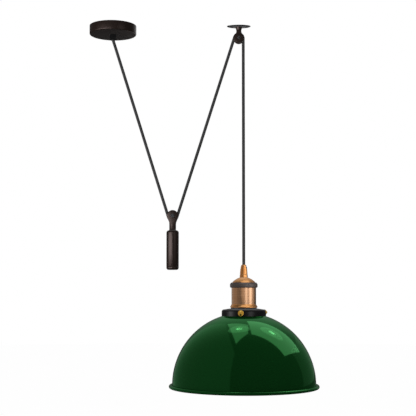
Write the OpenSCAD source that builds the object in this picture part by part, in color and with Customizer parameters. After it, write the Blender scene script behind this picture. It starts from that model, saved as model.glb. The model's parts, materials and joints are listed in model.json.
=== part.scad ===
// Rise and fall pendant lamp. A braided cord leaves a ceiling rose, runs under the grooved
// wheel of a counterweight, over the wheel of a ceiling pulley, and down to a lampholder
// that carries a domed metal shade. Pulling the shade down lifts the counterweight.
// Millimetres. Origin: middle of the rose, on the ceiling. +Z is up, +X runs from the rose
// towards the lamp, and the cord and both wheels lie in the plane y = 0.

/* [Layout] */
// Distance from the rose to the counterweight
weight_x = 122.5; // [120:0.5:125]
// Wheel centre of the counterweight below the ceiling
weight_drop = 388; // [384:1:392]
// Distance from the rose to the ceiling pulley
pulley_x = 256.5; // [254:0.5:259]
// Wheel centre of the ceiling pulley below the ceiling
pulley_drop = 25; // [24.5:0.5:27]
// Top of the lamp's cord grip below the ceiling
lamp_drop = 486.5; // [480:0.5:495]

/* [Cord] */
// Diameter of the braided cord
cord_d = 6; // [5:0.1:6.2]

/* [Ceiling rose] */
// Diameter of the rose cover
rose_d = 95; // [92:1:110]
// Height of the rose cover
rose_h = 18; // [17.5:0.5:22]
// Wall of the rose cover
rose_wall = 1.5; // [1:0.1:2]
// Width of the fixing strap inside the rose
strap_w = 14; // [12:1:16]
// Spacing of the strap's two ceiling slots
slot_spacing = 60; // [56:1:62]

/* [Pulleys] */
// Diameter of both grooved wheels
wheel_d = 22.4; // [21:0.2:23]
// Width of both grooved wheels
wheel_w = 7.6; // [7.4:0.1:8]
// Diameter at the bottom of the groove
groove_d = 11.4; // [11:0.1:11.6]
// Axle diameter
axle_d = 4; // [3.5:0.1:4.5]
// Thickness of each fork cheek
cheek_t = 2.6; // [2:0.1:3]
// Length of the ceiling pulley's oval plate
plate_l = 48; // [44:1:54]
// Depth of the oval plate
plate_w = 24; // [22:1:30]
// Thickness of the oval plate
plate_t = 2.5; // [2.4:0.1:3]
// Spacing of the plate's two screw holes
plate_holes = 32; // [30:1:34]

/* [Counterweight] */
// Diameter of the counterweight
weight_d = 25; // [22:0.5:30]
// Length of the counterweight's cylinder
weight_l = 79.7; // [60:1:110]
// Diameter of the counterweight's neck
weight_neck_d = 13.6; // [12:0.2:14]

/* [Lampholder] */
// Diameter of the copper barrel
barrel_d = 49.2; // [49:0.1:51]
// Height of the copper barrel that shows below the ring
barrel_h = 42.4; // [42:0.1:46]
// Diameter of the dark ring round the barrel's top
ring_d = 55.6; // [53:0.2:58]
// Diameter of the gallery that holds the shade
gallery_d = 88.9; // [88:0.1:92]
// Height of the gallery
gallery_h = 16.7; // [16.5:0.1:18]
// Radius of the lamp-cap thread bore
socket_r = 13.3; // [13.2:0.05:13.5]

/* [Shade] */
// Outside radius of the dome
dome_r = 143.4; // [130:0.2:160]
// Thickness of the shade's spun steel
shade_t = 1; // [0.8:0.1:1.6]
// Radius of the rolled bead round the rim
bead_r = 3.4; // [2.5:0.1:4]

/* [Hidden] */
$fn = 96;

// Fits
running_gap = 0.05;
cord_gap = 0.3;
cord_r = cord_d / 2;
nudge = 0.5;

// The cord rides in the groove at this radius, and the lamp hangs from that side
pitch_r = groove_d / 2 + cord_gap + cord_r;
lamp_x = pulley_x + pitch_r;

// Rose
rose_r = rose_d / 2;
rose_inner_r = rose_r - rose_wall;
strap_t = 1.6;
strap_end = rose_inner_r - 0.8;
ear_h = 13;
cover_screw_z = -8;
slot_l = 12;
slot_r = 2.25;
tab_w = 20;
tab_end = 29;
gland_thread_r = 4.9;
gland_top = -rose_h + 7;
gland_bottom = -rose_h - 11.2;
gland_r = 6.9;
gland_screw_z = -rose_h - 4;
block_y = 20;
block_w = 30;
block_d = 16;
block_h = 13;
way_pitch = 10;
way_z = -9.5;
tube_r = 2.15;
core_r = 1.2;

// Pulleys and forks
bush_r = 3;
bore_r = axle_d / 2 + running_gap;
fork_gap = wheel_w + 0.8;
fork_w = fork_gap + 2 * cheek_t;
throat = pitch_r + cord_r + 0.6;
bridge_t = 2.4;
axle_head_r = 3.4;
axle_head_t = 1.8;
ceiling_cheek_r = 10.6;
ceiling_waist = 5;
weight_cheek_r = 11.4;
neck_top_r = 7;

// Counterweight, measured from its wheel centre downwards
weight_neck_l = 29;
weight_top = -weight_drop - weight_neck_l;
weight_bottom = weight_top - weight_l;
weight_r = weight_d / 2;
weight_wall = 1.5;
shoulder_r = 5;
base_h = 6;
stud_r = 3;

// Lampholder heights from the grip's top down to the rim
grip_h = 19.5;
collar_h = 6;
cap_h = 10.2;
grip_top = -lamp_drop;
seam_z = grip_top - grip_h;
cap_top = seam_z - collar_h;
shell_top = cap_top - cap_h - 0.8;
shell_bottom = shell_top - barrel_h;
base_bottom = shell_bottom - 6.9;
gallery_top = base_bottom;
gallery_bottom = gallery_top - gallery_h;
barrel_r = barrel_d / 2;
barrel_wall = 0.8;
nipple_r = 5;
nipple_bore_r = 3.6;
nipple_bottom = cap_top - 7.5;
cord_end = seam_z - 2;
porcelain_top = cap_top - 22;
porcelain_bottom = shell_bottom - 4.1;
porcelain_r = 20.5;
terminal_x = 12;
spigot_r = 20;
spigot_bore_r = 18.6;
socket_top = porcelain_bottom + 25;

// Gallery, thumb screws and shade
gallery_r = gallery_d / 2;
gallery_wall = 1;
screw_z = gallery_bottom + 6.5;
screw_shank_r = 1.95;
screw_turns = [260.6, 20.6, 140.6];
blade_turns = [0, 65, 30];
neck_r = gallery_r - 3.45;
lip_r = gallery_r - 1.85;
dome_z = gallery_bottom - sqrt(pow(dome_r, 2) - pow(gallery_r - gallery_wall, 2));
rim_z = dome_z - 3;
crown_z = dome_z + 87;
rim_ring_r = dome_r + bead_r - 0.2;

// Route of the cord, [x, z], from the rose round both wheels to the lampholder
ring_step = 20;
left_route = [
  [0, gland_top], [0, -rose_h - 7], [0.7, -rose_h - 12], [2.2, -rose_h - 17],
  [4.8, -rose_h - 25], [8, -rose_h - 35],
  [weight_x - 8.6, -weight_drop - 2.7], [weight_x - 7.3, -weight_drop - 5.3],
  [weight_x - 5.3, -weight_drop - 7.3], [weight_x - 3.2, -weight_drop - 8.5],
  [weight_x - 1, -weight_drop - 9], [weight_x, -weight_drop - 9]
];
right_route = [
  [weight_x, -weight_drop - 9], [weight_x + 1, -weight_drop - 9],
  [weight_x + 3.2, -weight_drop - 8.5], [weight_x + 5.3, -weight_drop - 7.3],
  [weight_x + 7.3, -weight_drop - 5.3], [weight_x + 8.6, -weight_drop - 2.7],
  [pulley_x - 8.6, -pulley_drop + 2.7], [pulley_x - 7.3, -pulley_drop + 5.3],
  [pulley_x - 5.3, -pulley_drop + 7.3], [pulley_x - 3.2, -pulley_drop + 8.5],
  [pulley_x - 1, -pulley_drop + 9], [pulley_x, -pulley_drop + 9]
];
drop_route = [
  [pulley_x, -pulley_drop + 9], [pulley_x + 1, -pulley_drop + 9],
  [pulley_x + 3.2, -pulley_drop + 8.5], [pulley_x + 5.3, -pulley_drop + 7.3],
  [pulley_x + 7.3, -pulley_drop + 5.3], [pulley_x + 8.5, -pulley_drop + 2.8],
  [lamp_x, -pulley_drop - 1], [lamp_x, cord_end]
];

// Colours
bronze = "#3d302d";
black = "#1c1c1e";
copper = "#b87a50";
steel = "#9a9ca0";
brass = "#c79a3a";
nylon = "#e8e4d8";
braid = "#4a4a4c";
green = "#0f3f18";
white = "#efece4";

// ---------------------------------------------------------------- helpers

// Points along an arc
function arc(x, y, r, from, to, steps = 5) = [
  for (i = [0 : steps])
    let (a = from + (to - from) * i / steps)
      [x + r * cos(a), y + r * sin(a)]
];

function unit(v) = v / norm(v);

// Direction of a path at its point i
function heading(path, i) = unit(path[min(i + 1, len(path) - 1)] - path[max(i - 1, 0)]);

// The points of a path, with long straights cut into steps
function stepped(path, step) = [
  for (i = [0 : len(path) - 2])
    let (n = max(1, round(norm(path[i + 1] - path[i]) / step)))
      for (k = [0 : n - 1]) path[i] + (path[i + 1] - path[i]) * k / n,
  path[len(path) - 1]
];

// One ring of a tube, square to the path
function ring(centre, along, side, r, sides) =
  let (u = unit(side - (side * along) * along), v = cross(along, u)) [
    for (k = [0 : sides - 1])
      centre + r * (cos(360 * k / sides) * u + sin(360 * k / sides) * v)
  ];

// A round tube swept along a path in space
module tube(path, r, side, sides) {
  last = len(path) - 1;
  points = [for (i = [0 : last]) each ring(path[i], heading(path, i), side, r, sides)];
  walls = [
    for (i = [0 : last - 1], k = [0 : sides - 1])
      let (a = i * sides + k, b = i * sides + (k + 1) % sides)
        each [[a, a + sides, b + sides], [a, b + sides, b]]
  ];
  start = [for (k = [0 : sides - 1]) k];
  end = [for (k = [sides - 1 : -1 : 0]) last * sides + k];
  polyhedron(points, concat([start], walls, [end]));
}

// A stretch of the cord along a route in the plane y = 0
module cord(route) {
  path = [for (p = stepped(route, ring_step)) [p[0], 0, p[1]]];
  color(braid) tube(path, cord_r, [0, 1, 0], 10);
}

// A turned or spun piece: an outline of [radius, height] turned round Z
module turned(outline) {
  rotate_extrude() polygon(outline);
}

// Turns a child that stands along Z so that it lies along Y
module along_y() {
  rotate([-90, 0, 0]) children();
}

module on_pulley() {
  translate([pulley_x, 0, -pulley_drop]) children();
}

// The counterweight's fork is the pulley's turned over
module on_weight() {
  translate([weight_x, 0, -weight_drop]) rotate([180, 0, 0]) children();
}

module on_lamp(z = 0) {
  translate([lamp_x, 0, z]) children();
}

// ---------------------------------------------------------------- ceiling rose

module rose_cover() {
  floor_z = -rose_h + rose_wall;
  edge_r = 2;
  outline = concat(
    [[rose_inner_r, 0], [rose_r, 0]],
    arc(rose_r - edge_r, -rose_h + edge_r, edge_r, 0, -90),
    [[gland_thread_r + 0.2, -rose_h], [gland_thread_r + 0.2, floor_z], [rose_inner_r, floor_z]]
  );
  color(bronze) difference() {
    turned(outline);
    for (side = [-1, 1])
      translate([side * rose_r, 0, cover_screw_z]) rotate([0, -90 * side, 0]) {
        translate([0, 0, -nudge]) cylinder(r = 2.1, h = rose_wall + 2 * nudge);
        translate([0, 0, -nudge]) cylinder(r1 = 4 + nudge, r2 = 2.1, h = 1.4 + nudge);
      }
  }
}

module rose_bracket() {
  color(steel) difference() {
    union() {
      translate([-strap_end, -strap_w / 2, -strap_t]) cube([2 * strap_end, strap_w, strap_t]);
      for (side = [0, 1]) mirror([side, 0, 0])
        translate([strap_end - strap_t, -strap_w / 2, -ear_h]) cube([strap_t, strap_w, ear_h]);
      translate([-tab_w / 2, 0, -strap_t]) cube([tab_w, tab_end, strap_t]);
    }
    for (side = [-1, 1]) {
      translate([side * slot_spacing / 2, 0, -strap_t - nudge]) slot(strap_t + 2 * nudge);
      translate([side * strap_end, 0, cover_screw_z]) rotate([0, 90, 0])
        cylinder(r = 1.9, h = 4 * strap_t, center = true);
    }
    translate([-14, 0, -strap_t - nudge]) cylinder(r = 2, h = strap_t + 2 * nudge);
    translate([way_pitch / 2, block_y, -strap_t - nudge])
      cylinder(r = 1.5, h = strap_t + 2 * nudge);
  }
}

// A slot with round ends, along X
module slot(h) {
  straight = slot_l - 2 * slot_r;
  translate([-straight / 2, -slot_r, 0]) cube([straight, 2 * slot_r, h]);
  for (side = [-1, 1]) translate([side * straight / 2, 0, 0]) cylinder(r = slot_r, h = h);
}

// Two countersunk screws that hold the cover to the strap's ears
module rose_cover_screws() {
  head_h = 1.2;
  color(bronze)
    for (side = [-1, 1])
      translate([side * (rose_r - 0.25), 0, cover_screw_z]) rotate([0, -90 * side, 0])
        difference() {
          union() {
            cylinder(r1 = 3.2, r2 = 1.9, h = head_h);
            cylinder(r = 1.9, h = 8);
          }
          translate([0, 0, -nudge]) cylinder(r = 1.2, h = nudge + 0.8, $fn = 6);
        }
}

// Nylon cord gland: a thread stub through the cover and a body below it
module rose_gland() {
  bore_r = cord_r + cord_gap;
  outline = [
    [bore_r, gland_top], [gland_thread_r, gland_top], [gland_thread_r, -rose_h],
    [gland_r, -rose_h], [gland_r, -rose_h - 7.6], [gland_r - 0.8, -rose_h - 9],
    [cord_r + 1.9, gland_bottom], [cord_r + 1.3, gland_bottom], [bore_r, gland_bottom + 5]
  ];
  color(black) difference() {
    turned(outline);
    translate([0, 0, gland_screw_z]) along_y() cylinder(r = 1.5, h = 2 * gland_r);
  }
}

module gland_locknut() {
  color(black) translate([0, 0, -rose_h + rose_wall]) difference() {
    cylinder(r = 8.1, h = 3, $fn = 6);
    translate([0, 0, -nudge]) cylinder(r = gland_thread_r, h = 3 + 2 * nudge);
  }
}

module gland_grub_screw() {
  tip = cord_r + 0.1;
  color(black) translate([0, tip, gland_screw_z]) along_y() difference() {
    cylinder(r = 1.5, h = gland_r - tip - 0.4);
    translate([0, 0, gland_r - tip - 2]) cylinder(r = 0.8, h = 2, $fn = 6);
  }
}

module terminal_block() {
  color(nylon) difference() {
    union() {
      for (way = [-1 : 1])
        translate([way * way_pitch - 4.4, block_y - block_d / 2, -strap_t - block_h])
          cube([8.8, block_d, block_h]);
      translate([-block_w / 2 + 1, block_y - 5, -strap_t - block_h + 2.4])
        cube([block_w - 2, 10, block_h - 2.4]);
    }
    for (way = [-1 : 1]) {
      translate([way * way_pitch, block_y - block_d / 2 - nudge, way_z])
        along_y() cylinder(r = tube_r, h = block_d + 2 * nudge);
      for (side = [-1, 1])
        translate([way * way_pitch, block_y + side * 4, -strap_t - block_h - nudge])
          cylinder(r = 1.7, h = block_h / 2);
    }
    translate([way_pitch / 2, block_y, -strap_t - block_h - nudge]) {
      cylinder(r = 1.6, h = block_h + 2 * nudge);
      cylinder(r = 3, h = 2.4 + nudge);
    }
  }
}

// Three brass tubes that join the cord's cores to the supply
module terminal_tubes() {
  length = block_d - 3;
  color(brass) for (way = [-1 : 1])
    translate([way * way_pitch, block_y - length / 2, way_z]) difference() {
      along_y() cylinder(r = tube_r, h = length);
      translate([0, -nudge, 0]) along_y() cylinder(r = 1.5, h = length + 2 * nudge);
      for (side = [-1, 1])
        translate([0, length / 2 + side * 4, -2 * tube_r]) cylinder(r = 1.3, h = 2 * tube_r);
    }
}

module terminal_screws() {
  color(steel) for (way = [-1 : 1], side = [-1, 1])
    translate([way * way_pitch, block_y + side * 4, -strap_t - block_h + 1]) difference() {
      cylinder(r = 1.3, h = way_z - 0.6 + strap_t + block_h - 1);
      translate([-2, -0.3, -nudge]) cube([4, 0.6, nudge + 0.6]);
    }
}

module terminal_fixing_screw() {
  color(steel) translate([way_pitch / 2, block_y, -strap_t - block_h + 0.6]) difference() {
    union() {
      cylinder(r = 2.7, h = 1.8);
      cylinder(r = 1.5, h = block_h + strap_t - 0.8);
    }
    translate([-3, -0.35, -nudge]) cube([6, 0.7, nudge + 0.8]);
  }
}

// Earth screw and cupped washer under the strap
module earth_terminal() {
  color(brass) translate([-14, 0, -strap_t]) {
    difference() {
      union() {
        cylinder(r = 2, h = strap_t - 0.2);
        translate([0, 0, -3.4]) cylinder(r = 3.6, h = 2.4);
        translate([0, 0, -1]) cylinder(r = 2, h = 1);
      }
      translate([-4, -0.4, -3.4 - nudge]) cube([8, 0.8, nudge + 1]);
    }
    translate([0, 0, -1]) difference() {
      cylinder(r = 4.5, h = 1);
      translate([0, 0, -nudge]) cylinder(r = 2, h = 2);
    }
  }
}

// Three insulated cores from the cord's end to the terminal block
module rose_cores() {
  color(white) for (way = [-1 : 1]) {
    x = way * way_pitch;
    y = way == 0 ? 1.5 : -0.6;
    path = [
      [0.14 * x, y, gland_top], [0.14 * x, y, -8], [0.2 * x, y + 1, -6], [0.4 * x, 4, -5],
      [0.75 * x, 7, -5.6], [x, 10, -8], [x, 12, -9.3], [x, 14, -9.5]
    ];
    tube(path, core_r, [1, 0, 0], 8);
  }
}

// ---------------------------------------------------------------- pulleys

// Oval plate that two screws hold to the ceiling
module pulley_plate() {
  color(black) translate([pulley_x, 0, -plate_t]) difference() {
    linear_extrude(plate_t)
      polygon([for (i = [0 : 59]) [plate_l / 2 * cos(6 * i), plate_w / 2 * sin(6 * i)]]);
    for (side = [-1, 1]) translate([side * plate_holes / 2, 0, -nudge]) {
      cylinder(r = 2.2, h = plate_t + 2 * nudge);
      cylinder(r1 = 4.2 + nudge, r2 = 2.2, h = 1.3 + nudge);
    }
    translate([0, 0, -nudge]) cylinder(r = 2.5, h = plate_t + 2 * nudge);
    translate([0, 0, plate_t - 2]) cylinder(r1 = 2.5, r2 = 4.5, h = 2);
  }
}

module pulley_neck_screw() {
  color(steel) translate([pulley_x, 0, 0]) difference() {
    union() {
      translate([0, 0, -2]) cylinder(r1 = 2.5, r2 = 4.3, h = 1.8);
      translate([0, 0, -9]) cylinder(r = 2.5, h = 8);
    }
    translate([0, 0, -1.4]) cylinder(r = 1.5, h = 2, $fn = 6);
  }
}

// A wheel's fork: two cheeks, a bridge over the cord and a round neck above it.
// Each cheek is a disc whose waist tapers into it from the height called foot.
module fork(cheek_r, waist, foot, shoulder, neck, neck_hole_r, neck_hole_l, neck_h) {
  shoulder_x = shoulder * cheek_r;
  shoulder_z = sqrt(pow(cheek_r, 2) - pow(shoulder_x, 2)) - nudge;
  color(bronze) difference() {
    union() {
      for (side = [-1, 1])
        translate([0, side * (fork_gap + cheek_t) / 2, 0]) rotate([90, 0, 0])
          linear_extrude(cheek_t, center = true) {
            circle(r = cheek_r);
            polygon([
              [-waist, throat + bridge_t], [waist, throat + bridge_t], [waist, foot],
              [shoulder_x, shoulder_z], [0, 0], [-shoulder_x, shoulder_z], [-waist, foot]
            ]);
          }
      translate([-waist, -fork_w / 2, throat]) cube([2 * waist, fork_w, bridge_t]);
      turned(neck);
    }
    translate([0, -fork_w, 0]) along_y() cylinder(r = bore_r, h = 2 * fork_w);
    translate([0, 0, neck_h - neck_hole_l]) cylinder(r = neck_hole_r, h = neck_hole_l + nudge);
  }
}

module pulley_fork() {
  neck_h = pulley_drop - plate_t;
  neck_r = ceiling_waist - 0.3;
  neck = concat(
    [[0, throat + 0.4], [neck_r, throat + 0.4], [neck_r, throat + bridge_t]],
    [
      for (i = [1 : 6])
        [
          neck_r + (neck_top_r - neck_r) * (1 - cos(90 * i / 6)),
          throat + bridge_t + (neck_h - throat - bridge_t) * i / 6
        ]
    ],
    [[0, neck_h]]
  );
  on_pulley() fork(ceiling_cheek_r, ceiling_waist, 11.4, 0.62, neck, 2.5, 6.6, neck_h);
}

module weight_fork() {
  neck_r = weight_neck_d / 2;
  neck = [
    [0, throat + 0.4], [neck_r, throat + 0.4], [neck_r, weight_neck_l - 1.2],
    [neck_r + 0.3, weight_neck_l - 0.4], [neck_r + 0.6, weight_neck_l], [0, weight_neck_l]
  ];
  on_weight() fork(weight_cheek_r, neck_r, 13.6, 0.86, neck, stud_r, 11, weight_neck_l);
}

module wheel() {
  color(bronze) along_y() difference() {
    translate([0, 0, -wheel_w / 2]) cylinder(d = wheel_d, h = wheel_w);
    translate([0, 0, -wheel_w]) cylinder(r = bush_r, h = 2 * wheel_w);
    rotate_extrude() {
      translate([pitch_r, 0]) circle(r = cord_r + cord_gap);
      polygon([
        [pitch_r, -cord_r - 0.2], [wheel_d / 2 + nudge, -cord_r - 0.5],
        [wheel_d / 2 + nudge, cord_r + 0.5], [pitch_r, cord_r + 0.2]
      ]);
    }
  }
}

module wheel_bush() {
  length = wheel_w + 0.4;
  color(brass) along_y() translate([0, 0, -length / 2]) difference() {
    cylinder(r = bush_r, h = length);
    translate([0, 0, -nudge]) cylinder(r = bore_r, h = length + 2 * nudge);
  }
}

// Shoulder screw through both cheeks, its head with a hex socket at the front
module axle() {
  color(black) translate([0, -fork_w / 2, 0]) along_y() difference() {
    union() {
      cylinder(d = axle_d, h = fork_w + 3.2);
      translate([0, 0, -axle_head_t]) cylinder(r = axle_head_r, h = axle_head_t);
    }
    translate([0, 0, -axle_head_t - nudge]) cylinder(r = 1.5, h = 1.3 + nudge, $fn = 6);
  }
}

module axle_nut() {
  color(black) translate([0, fork_w / 2, 0]) along_y() difference() {
    cylinder(r = 4, h = 2.8, $fn = 6);
    translate([0, 0, -nudge]) cylinder(d = axle_d, h = 4);
  }
}

module ceiling_wheel() { on_pulley() wheel(); }
module ceiling_wheel_bush() { on_pulley() wheel_bush(); }
module ceiling_axle() { on_pulley() axle(); }
module ceiling_axle_nut() { on_pulley() axle_nut(); }

// ---------------------------------------------------------------- counterweight

module weight_wheel() { on_weight() wheel(); }
module weight_wheel_bush() { on_weight() wheel_bush(); }
module weight_axle() { on_weight() mirror([0, 1, 0]) axle(); }
module weight_axle_nut() { on_weight() mirror([0, 1, 0]) axle_nut(); }

// Stud that screws the fork to the weight
module weight_stud() {
  color(steel) translate([weight_x, 0, weight_top - 18]) cylinder(r = stud_r, h = 29);
}

module weight_shell() {
  inner_r = weight_r - weight_wall;
  outline = concat(
    [[stud_r + 0.1, weight_top]],
    arc(weight_r - shoulder_r, weight_top - shoulder_r, shoulder_r, 90, 0),
    [
      [weight_r, weight_bottom + base_h], [inner_r, weight_bottom + base_h],
      [inner_r, weight_top - shoulder_r]
    ],
    arc(weight_r - shoulder_r, weight_top - shoulder_r, shoulder_r - weight_wall, 0, 90),
    [[stud_r + 0.1, weight_top - weight_wall]]
  );
  color(bronze) translate([weight_x, 0, 0]) turned(outline);
}

module weight_core() {
  core_top = weight_top - shoulder_r;
  core_bottom = weight_bottom + base_h + 4;
  color(steel) translate([weight_x, 0, core_bottom]) difference() {
    cylinder(r = weight_r - weight_wall - 0.1, h = core_top - core_bottom);
    translate([0, 0, core_top - core_bottom - 14]) cylinder(r = stud_r, h = 14 + nudge);
  }
}

module weight_base_cap() {
  edge_r = 4.5;
  spigot = weight_r - weight_wall - 0.1;
  outline = concat(
    [[0, weight_bottom]],
    arc(weight_r - edge_r, weight_bottom + edge_r, edge_r, -90, 0),
    [
      [weight_r, weight_bottom + base_h], [spigot, weight_bottom + base_h],
      [spigot, weight_bottom + base_h + 4], [0, weight_bottom + base_h + 4]
    ]
  );
  color(bronze) translate([weight_x, 0, 0]) turned(outline);
}

// ---------------------------------------------------------------- cord

module cord_left_run() { cord(left_route); }
module cord_right_run() { cord(right_route); }
module cord_drop() { cord(drop_route); }

// ---------------------------------------------------------------- lampholder

// Copper cone that grips the cord
module cord_grip() {
  outline = [
    [cord_r + cord_gap, 0], [4.2, 0], [4.9, -0.7], [5.4, -2.4], [6, -5], [6.7, -8.5],
    [7.1, -12], [7.6, -grip_h], [nipple_r, -grip_h], [nipple_r, -grip_h + 3],
    [cord_r + cord_gap, -grip_h + 3]
  ];
  color(copper) on_lamp(grip_top) difference() {
    turned(outline);
    grip_screw_place() cylinder(r = 1.5, h = 10);
  }
}

module grip_screw_place() {
  rotate([0, 0, -35]) translate([cord_r + 0.1, 0, -6]) rotate([0, 90, 0]) children();
}

module grip_grub_screw() {
  color(steel) on_lamp(grip_top) grip_screw_place() difference() {
    cylinder(r = 1.5, h = 3.6);
    translate([0, 0, 2.4]) cylinder(r = 0.8, h = 2, $fn = 6);
  }
}

module grip_collar() {
  outline = [
    [nipple_r, -0.05], [7.7, -0.05], [7.9, -2], [8.1, -collar_h + 0.6],
    [8.2, -collar_h], [nipple_r, -collar_h]
  ];
  color(copper) on_lamp(seam_z) turned(outline);
}

// Threaded tube that joins the grip to the cap
module cap_nipple() {
  color(steel) on_lamp(nipple_bottom) difference() {
    cylinder(r = nipple_r, h = seam_z + 3 - nipple_bottom);
    translate([0, 0, -nudge])
      cylinder(r = nipple_bore_r, h = seam_z + 3 - nipple_bottom + 2 * nudge);
  }
}

module nipple_nut() {
  color(steel) on_lamp(cap_top - 4.3) difference() {
    cylinder(r = 8.1, h = 3, $fn = 6);
    translate([0, 0, -nudge]) cylinder(r = nipple_r, h = 3 + 2 * nudge);
  }
}

// Solder tag for the earth core, under the nipple's nut
module earth_tag() {
  color(brass) on_lamp(cap_top - 5.1) difference() {
    union() {
      cylinder(r = 7.8, h = 0.8);
      translate([-2, 0, 0]) cube([4, 13, 0.8]);
    }
    translate([0, 0, -nudge]) cylinder(r = nipple_r, h = 0.8 + 2 * nudge);
    translate([0, 11, -nudge]) cylinder(r = 0.9, h = 0.8 + 2 * nudge);
  }
}

// Domed copper cap with a skirt that screws inside the barrel
module holder_cap() {
  skirt_r = barrel_r - barrel_wall - 0.6;
  outline = [
    [nipple_r, 0], [8.3, 0], [12.4, -1.7], [17, -4.2], [20.6, -7], [22.8, -9.2],
    [barrel_r - 0.7, -cap_h - 0.8], [skirt_r, -cap_h - 0.8], [skirt_r, -22],
    [skirt_r - 1.4, -22], [skirt_r - 1.4, -cap_h], [20.2, -8.6], [16.4, -5.4],
    [12, -3], [8, -1.3], [nipple_r, -1.3]
  ];
  color(copper) on_lamp(cap_top) turned(outline);
}

// Dark trim ring round the joint between cap and barrel
module holder_ring() {
  inner_r = barrel_r + 0.05;
  outer_r = ring_d / 2;
  outline = [
    [inner_r, -cap_h - 0.1], [inner_r + 0.7, -cap_h], [outer_r - 1, -cap_h - 2],
    [outer_r - 0.2, -cap_h - 3.4], [outer_r, -cap_h - 5], [outer_r - 0.1, -cap_h - 8.2],
    [outer_r - 0.7, -cap_h - 9.8], [outer_r - 2, -cap_h - 10.4], [inner_r, -cap_h - 10.4]
  ];
  color(black) on_lamp(cap_top) turned(outline);
}

module holder_shell() {
  color(copper) on_lamp(shell_bottom) difference() {
    cylinder(r = barrel_r, h = barrel_h);
    translate([0, 0, -nudge]) cylinder(r = barrel_r - barrel_wall, h = barrel_h + 2 * nudge);
  }
}

// Card tube that keeps the live parts off the metal barrel
module insulating_liner() {
  liner_bottom = shell_bottom + 6.4;
  liner_h = porcelain_top - 2 - liner_bottom;
  color("#b9a076") on_lamp(liner_bottom) difference() {
    cylinder(r = barrel_r - barrel_wall - 0.1, h = liner_h);
    translate([0, 0, -nudge])
      cylinder(r = barrel_r - barrel_wall - 0.6, h = liner_h + 2 * nudge);
  }
}

// Copper base: a bead below the barrel and a threaded spigot through the gallery
module holder_base() {
  wall_r = barrel_r - barrel_wall - 0.1;
  outline = [
    [wall_r, 5.4], [wall_r, 0], [barrel_r + 0.2, 0], [barrel_r + 0.5, -1.2],
    [barrel_r + 1.3, -2.8], [barrel_r + 2.4, -4.3], [barrel_r + 2.9, -5.3],
    [barrel_r + 2.8, -6.2], [barrel_r + 2.1, -6.9], [spigot_r, -6.9], [spigot_r, -18.6], [spigot_bore_r, -18.6],
    [spigot_bore_r, -4.1], [wall_r - 1.1, -4.1], [wall_r - 1.1, 5.4]
  ];
  color(copper) on_lamp(shell_bottom) turned(outline);
}

// Porcelain insert: a flange, two terminals on top and the lamp-cap cavity below
module porcelain_body() {
  height = porcelain_top - porcelain_bottom;
  color(white) on_lamp(porcelain_bottom) difference() {
    union() {
      cylinder(r = porcelain_r, h = height);
      translate([0, 0, height - 3]) cylinder(r = porcelain_r + 1.7, h = 3);
    }
    translate([0, 0, -nudge]) cylinder(r = socket_r + 0.6, h = socket_top - porcelain_bottom + nudge);
    for (side = [-1, 1]) translate([side * terminal_x, 0, height - 9])
      cylinder(r = 1.5, h = 9 + nudge);
  }
}

// Threaded sleeve for the lamp cap
module screw_shell() {
  height = 20.5;
  color(brass) on_lamp(porcelain_bottom) difference() {
    cylinder(r = socket_r + 0.55, h = height);
    translate([0, 0, -nudge]) cylinder(r = socket_r, h = height + 2 * nudge);
  }
}

// Sprung tongue that touches the tip of the lamp cap
module centre_contact() {
  color(brass) on_lamp(socket_top) rotate([90, 0, 0])
    linear_extrude(6, center = true)
      polygon([
        [-8, -0.1], [8, -0.1], [8, -0.6], [-4, -0.6], [3, -3.4], [5, -3.4], [5, -3.9],
        [2.8, -3.9], [-6, -0.6], [-8, -0.6]
      ]);
}

module holder_terminal_screws() {
  color(brass) on_lamp(porcelain_top) for (side = [-1, 1])
    translate([side * terminal_x, 0, 0]) difference() {
      union() {
        translate([0, 0, -8]) cylinder(r = 1.5, h = 9);
        cylinder(r = 3, h = 1.8);
      }
      translate([-3, -0.4, 1]) cube([6, 0.8, 2]);
    }
}

// Three cores from the cord's end: two to the terminals, one to the earth tag
module holder_cores() {
  top = cord_end;
  mouth = nipple_bottom;
  color(white) {
    for (side = [-1, 1])
      translate([lamp_x, 0, 0]) tube([
        [1.35 * side, -0.7, top], [1.35 * side, -0.7, mouth], [2.6 * side, -0.7, mouth - 2.6],
        [6 * side, -0.4, mouth - 5], [9 * side, 0, mouth - 7.4],
        [10.6 * side, 0, mouth - 10], [11 * side, 0, porcelain_top + 3.2]
      ], core_r, [0, 1, 0], 8);
    translate([lamp_x, 0, 0]) tube([
      [0, 1.7, top], [0, 1.7, mouth], [0, 2.8, mouth - 2], [0, 5.6, mouth - 3],
      [0, 8.4, mouth - 2], [0, 10, cap_top - 6.5]
    ], core_r, [1, 0, 0], 8);
  }
}

// ---------------------------------------------------------------- gallery

// Spun cup that hangs under the lampholder and holds the shade's neck
module gallery() {
  corner_r = 4.5;
  corner_x = gallery_r - corner_r;
  corner_z = -8.2;
  outline = concat(
    [
      [spigot_r + 0.2, 0], [25.8, 0], [25.8, -1.6], [28, -1.9],
      [corner_x - 0.2, corner_z + corner_r]
    ],
    arc(corner_x, corner_z, corner_r, 85, 0),
    [[gallery_r, -gallery_h], [gallery_r - gallery_wall, -gallery_h]],
    arc(corner_x, corner_z, corner_r - gallery_wall, 0, 90),
    [[27, -3.4], [spigot_r + 0.2, -3.1]]
  );
  color(black) on_lamp(gallery_top) difference() {
    turned(outline);
    for (turn = screw_turns)
      rotate([0, 0, turn]) translate([gallery_r - 3, 0, screw_z - gallery_top])
        rotate([0, 90, 0]) cylinder(r = 3, h = 6);
  }
}

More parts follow.
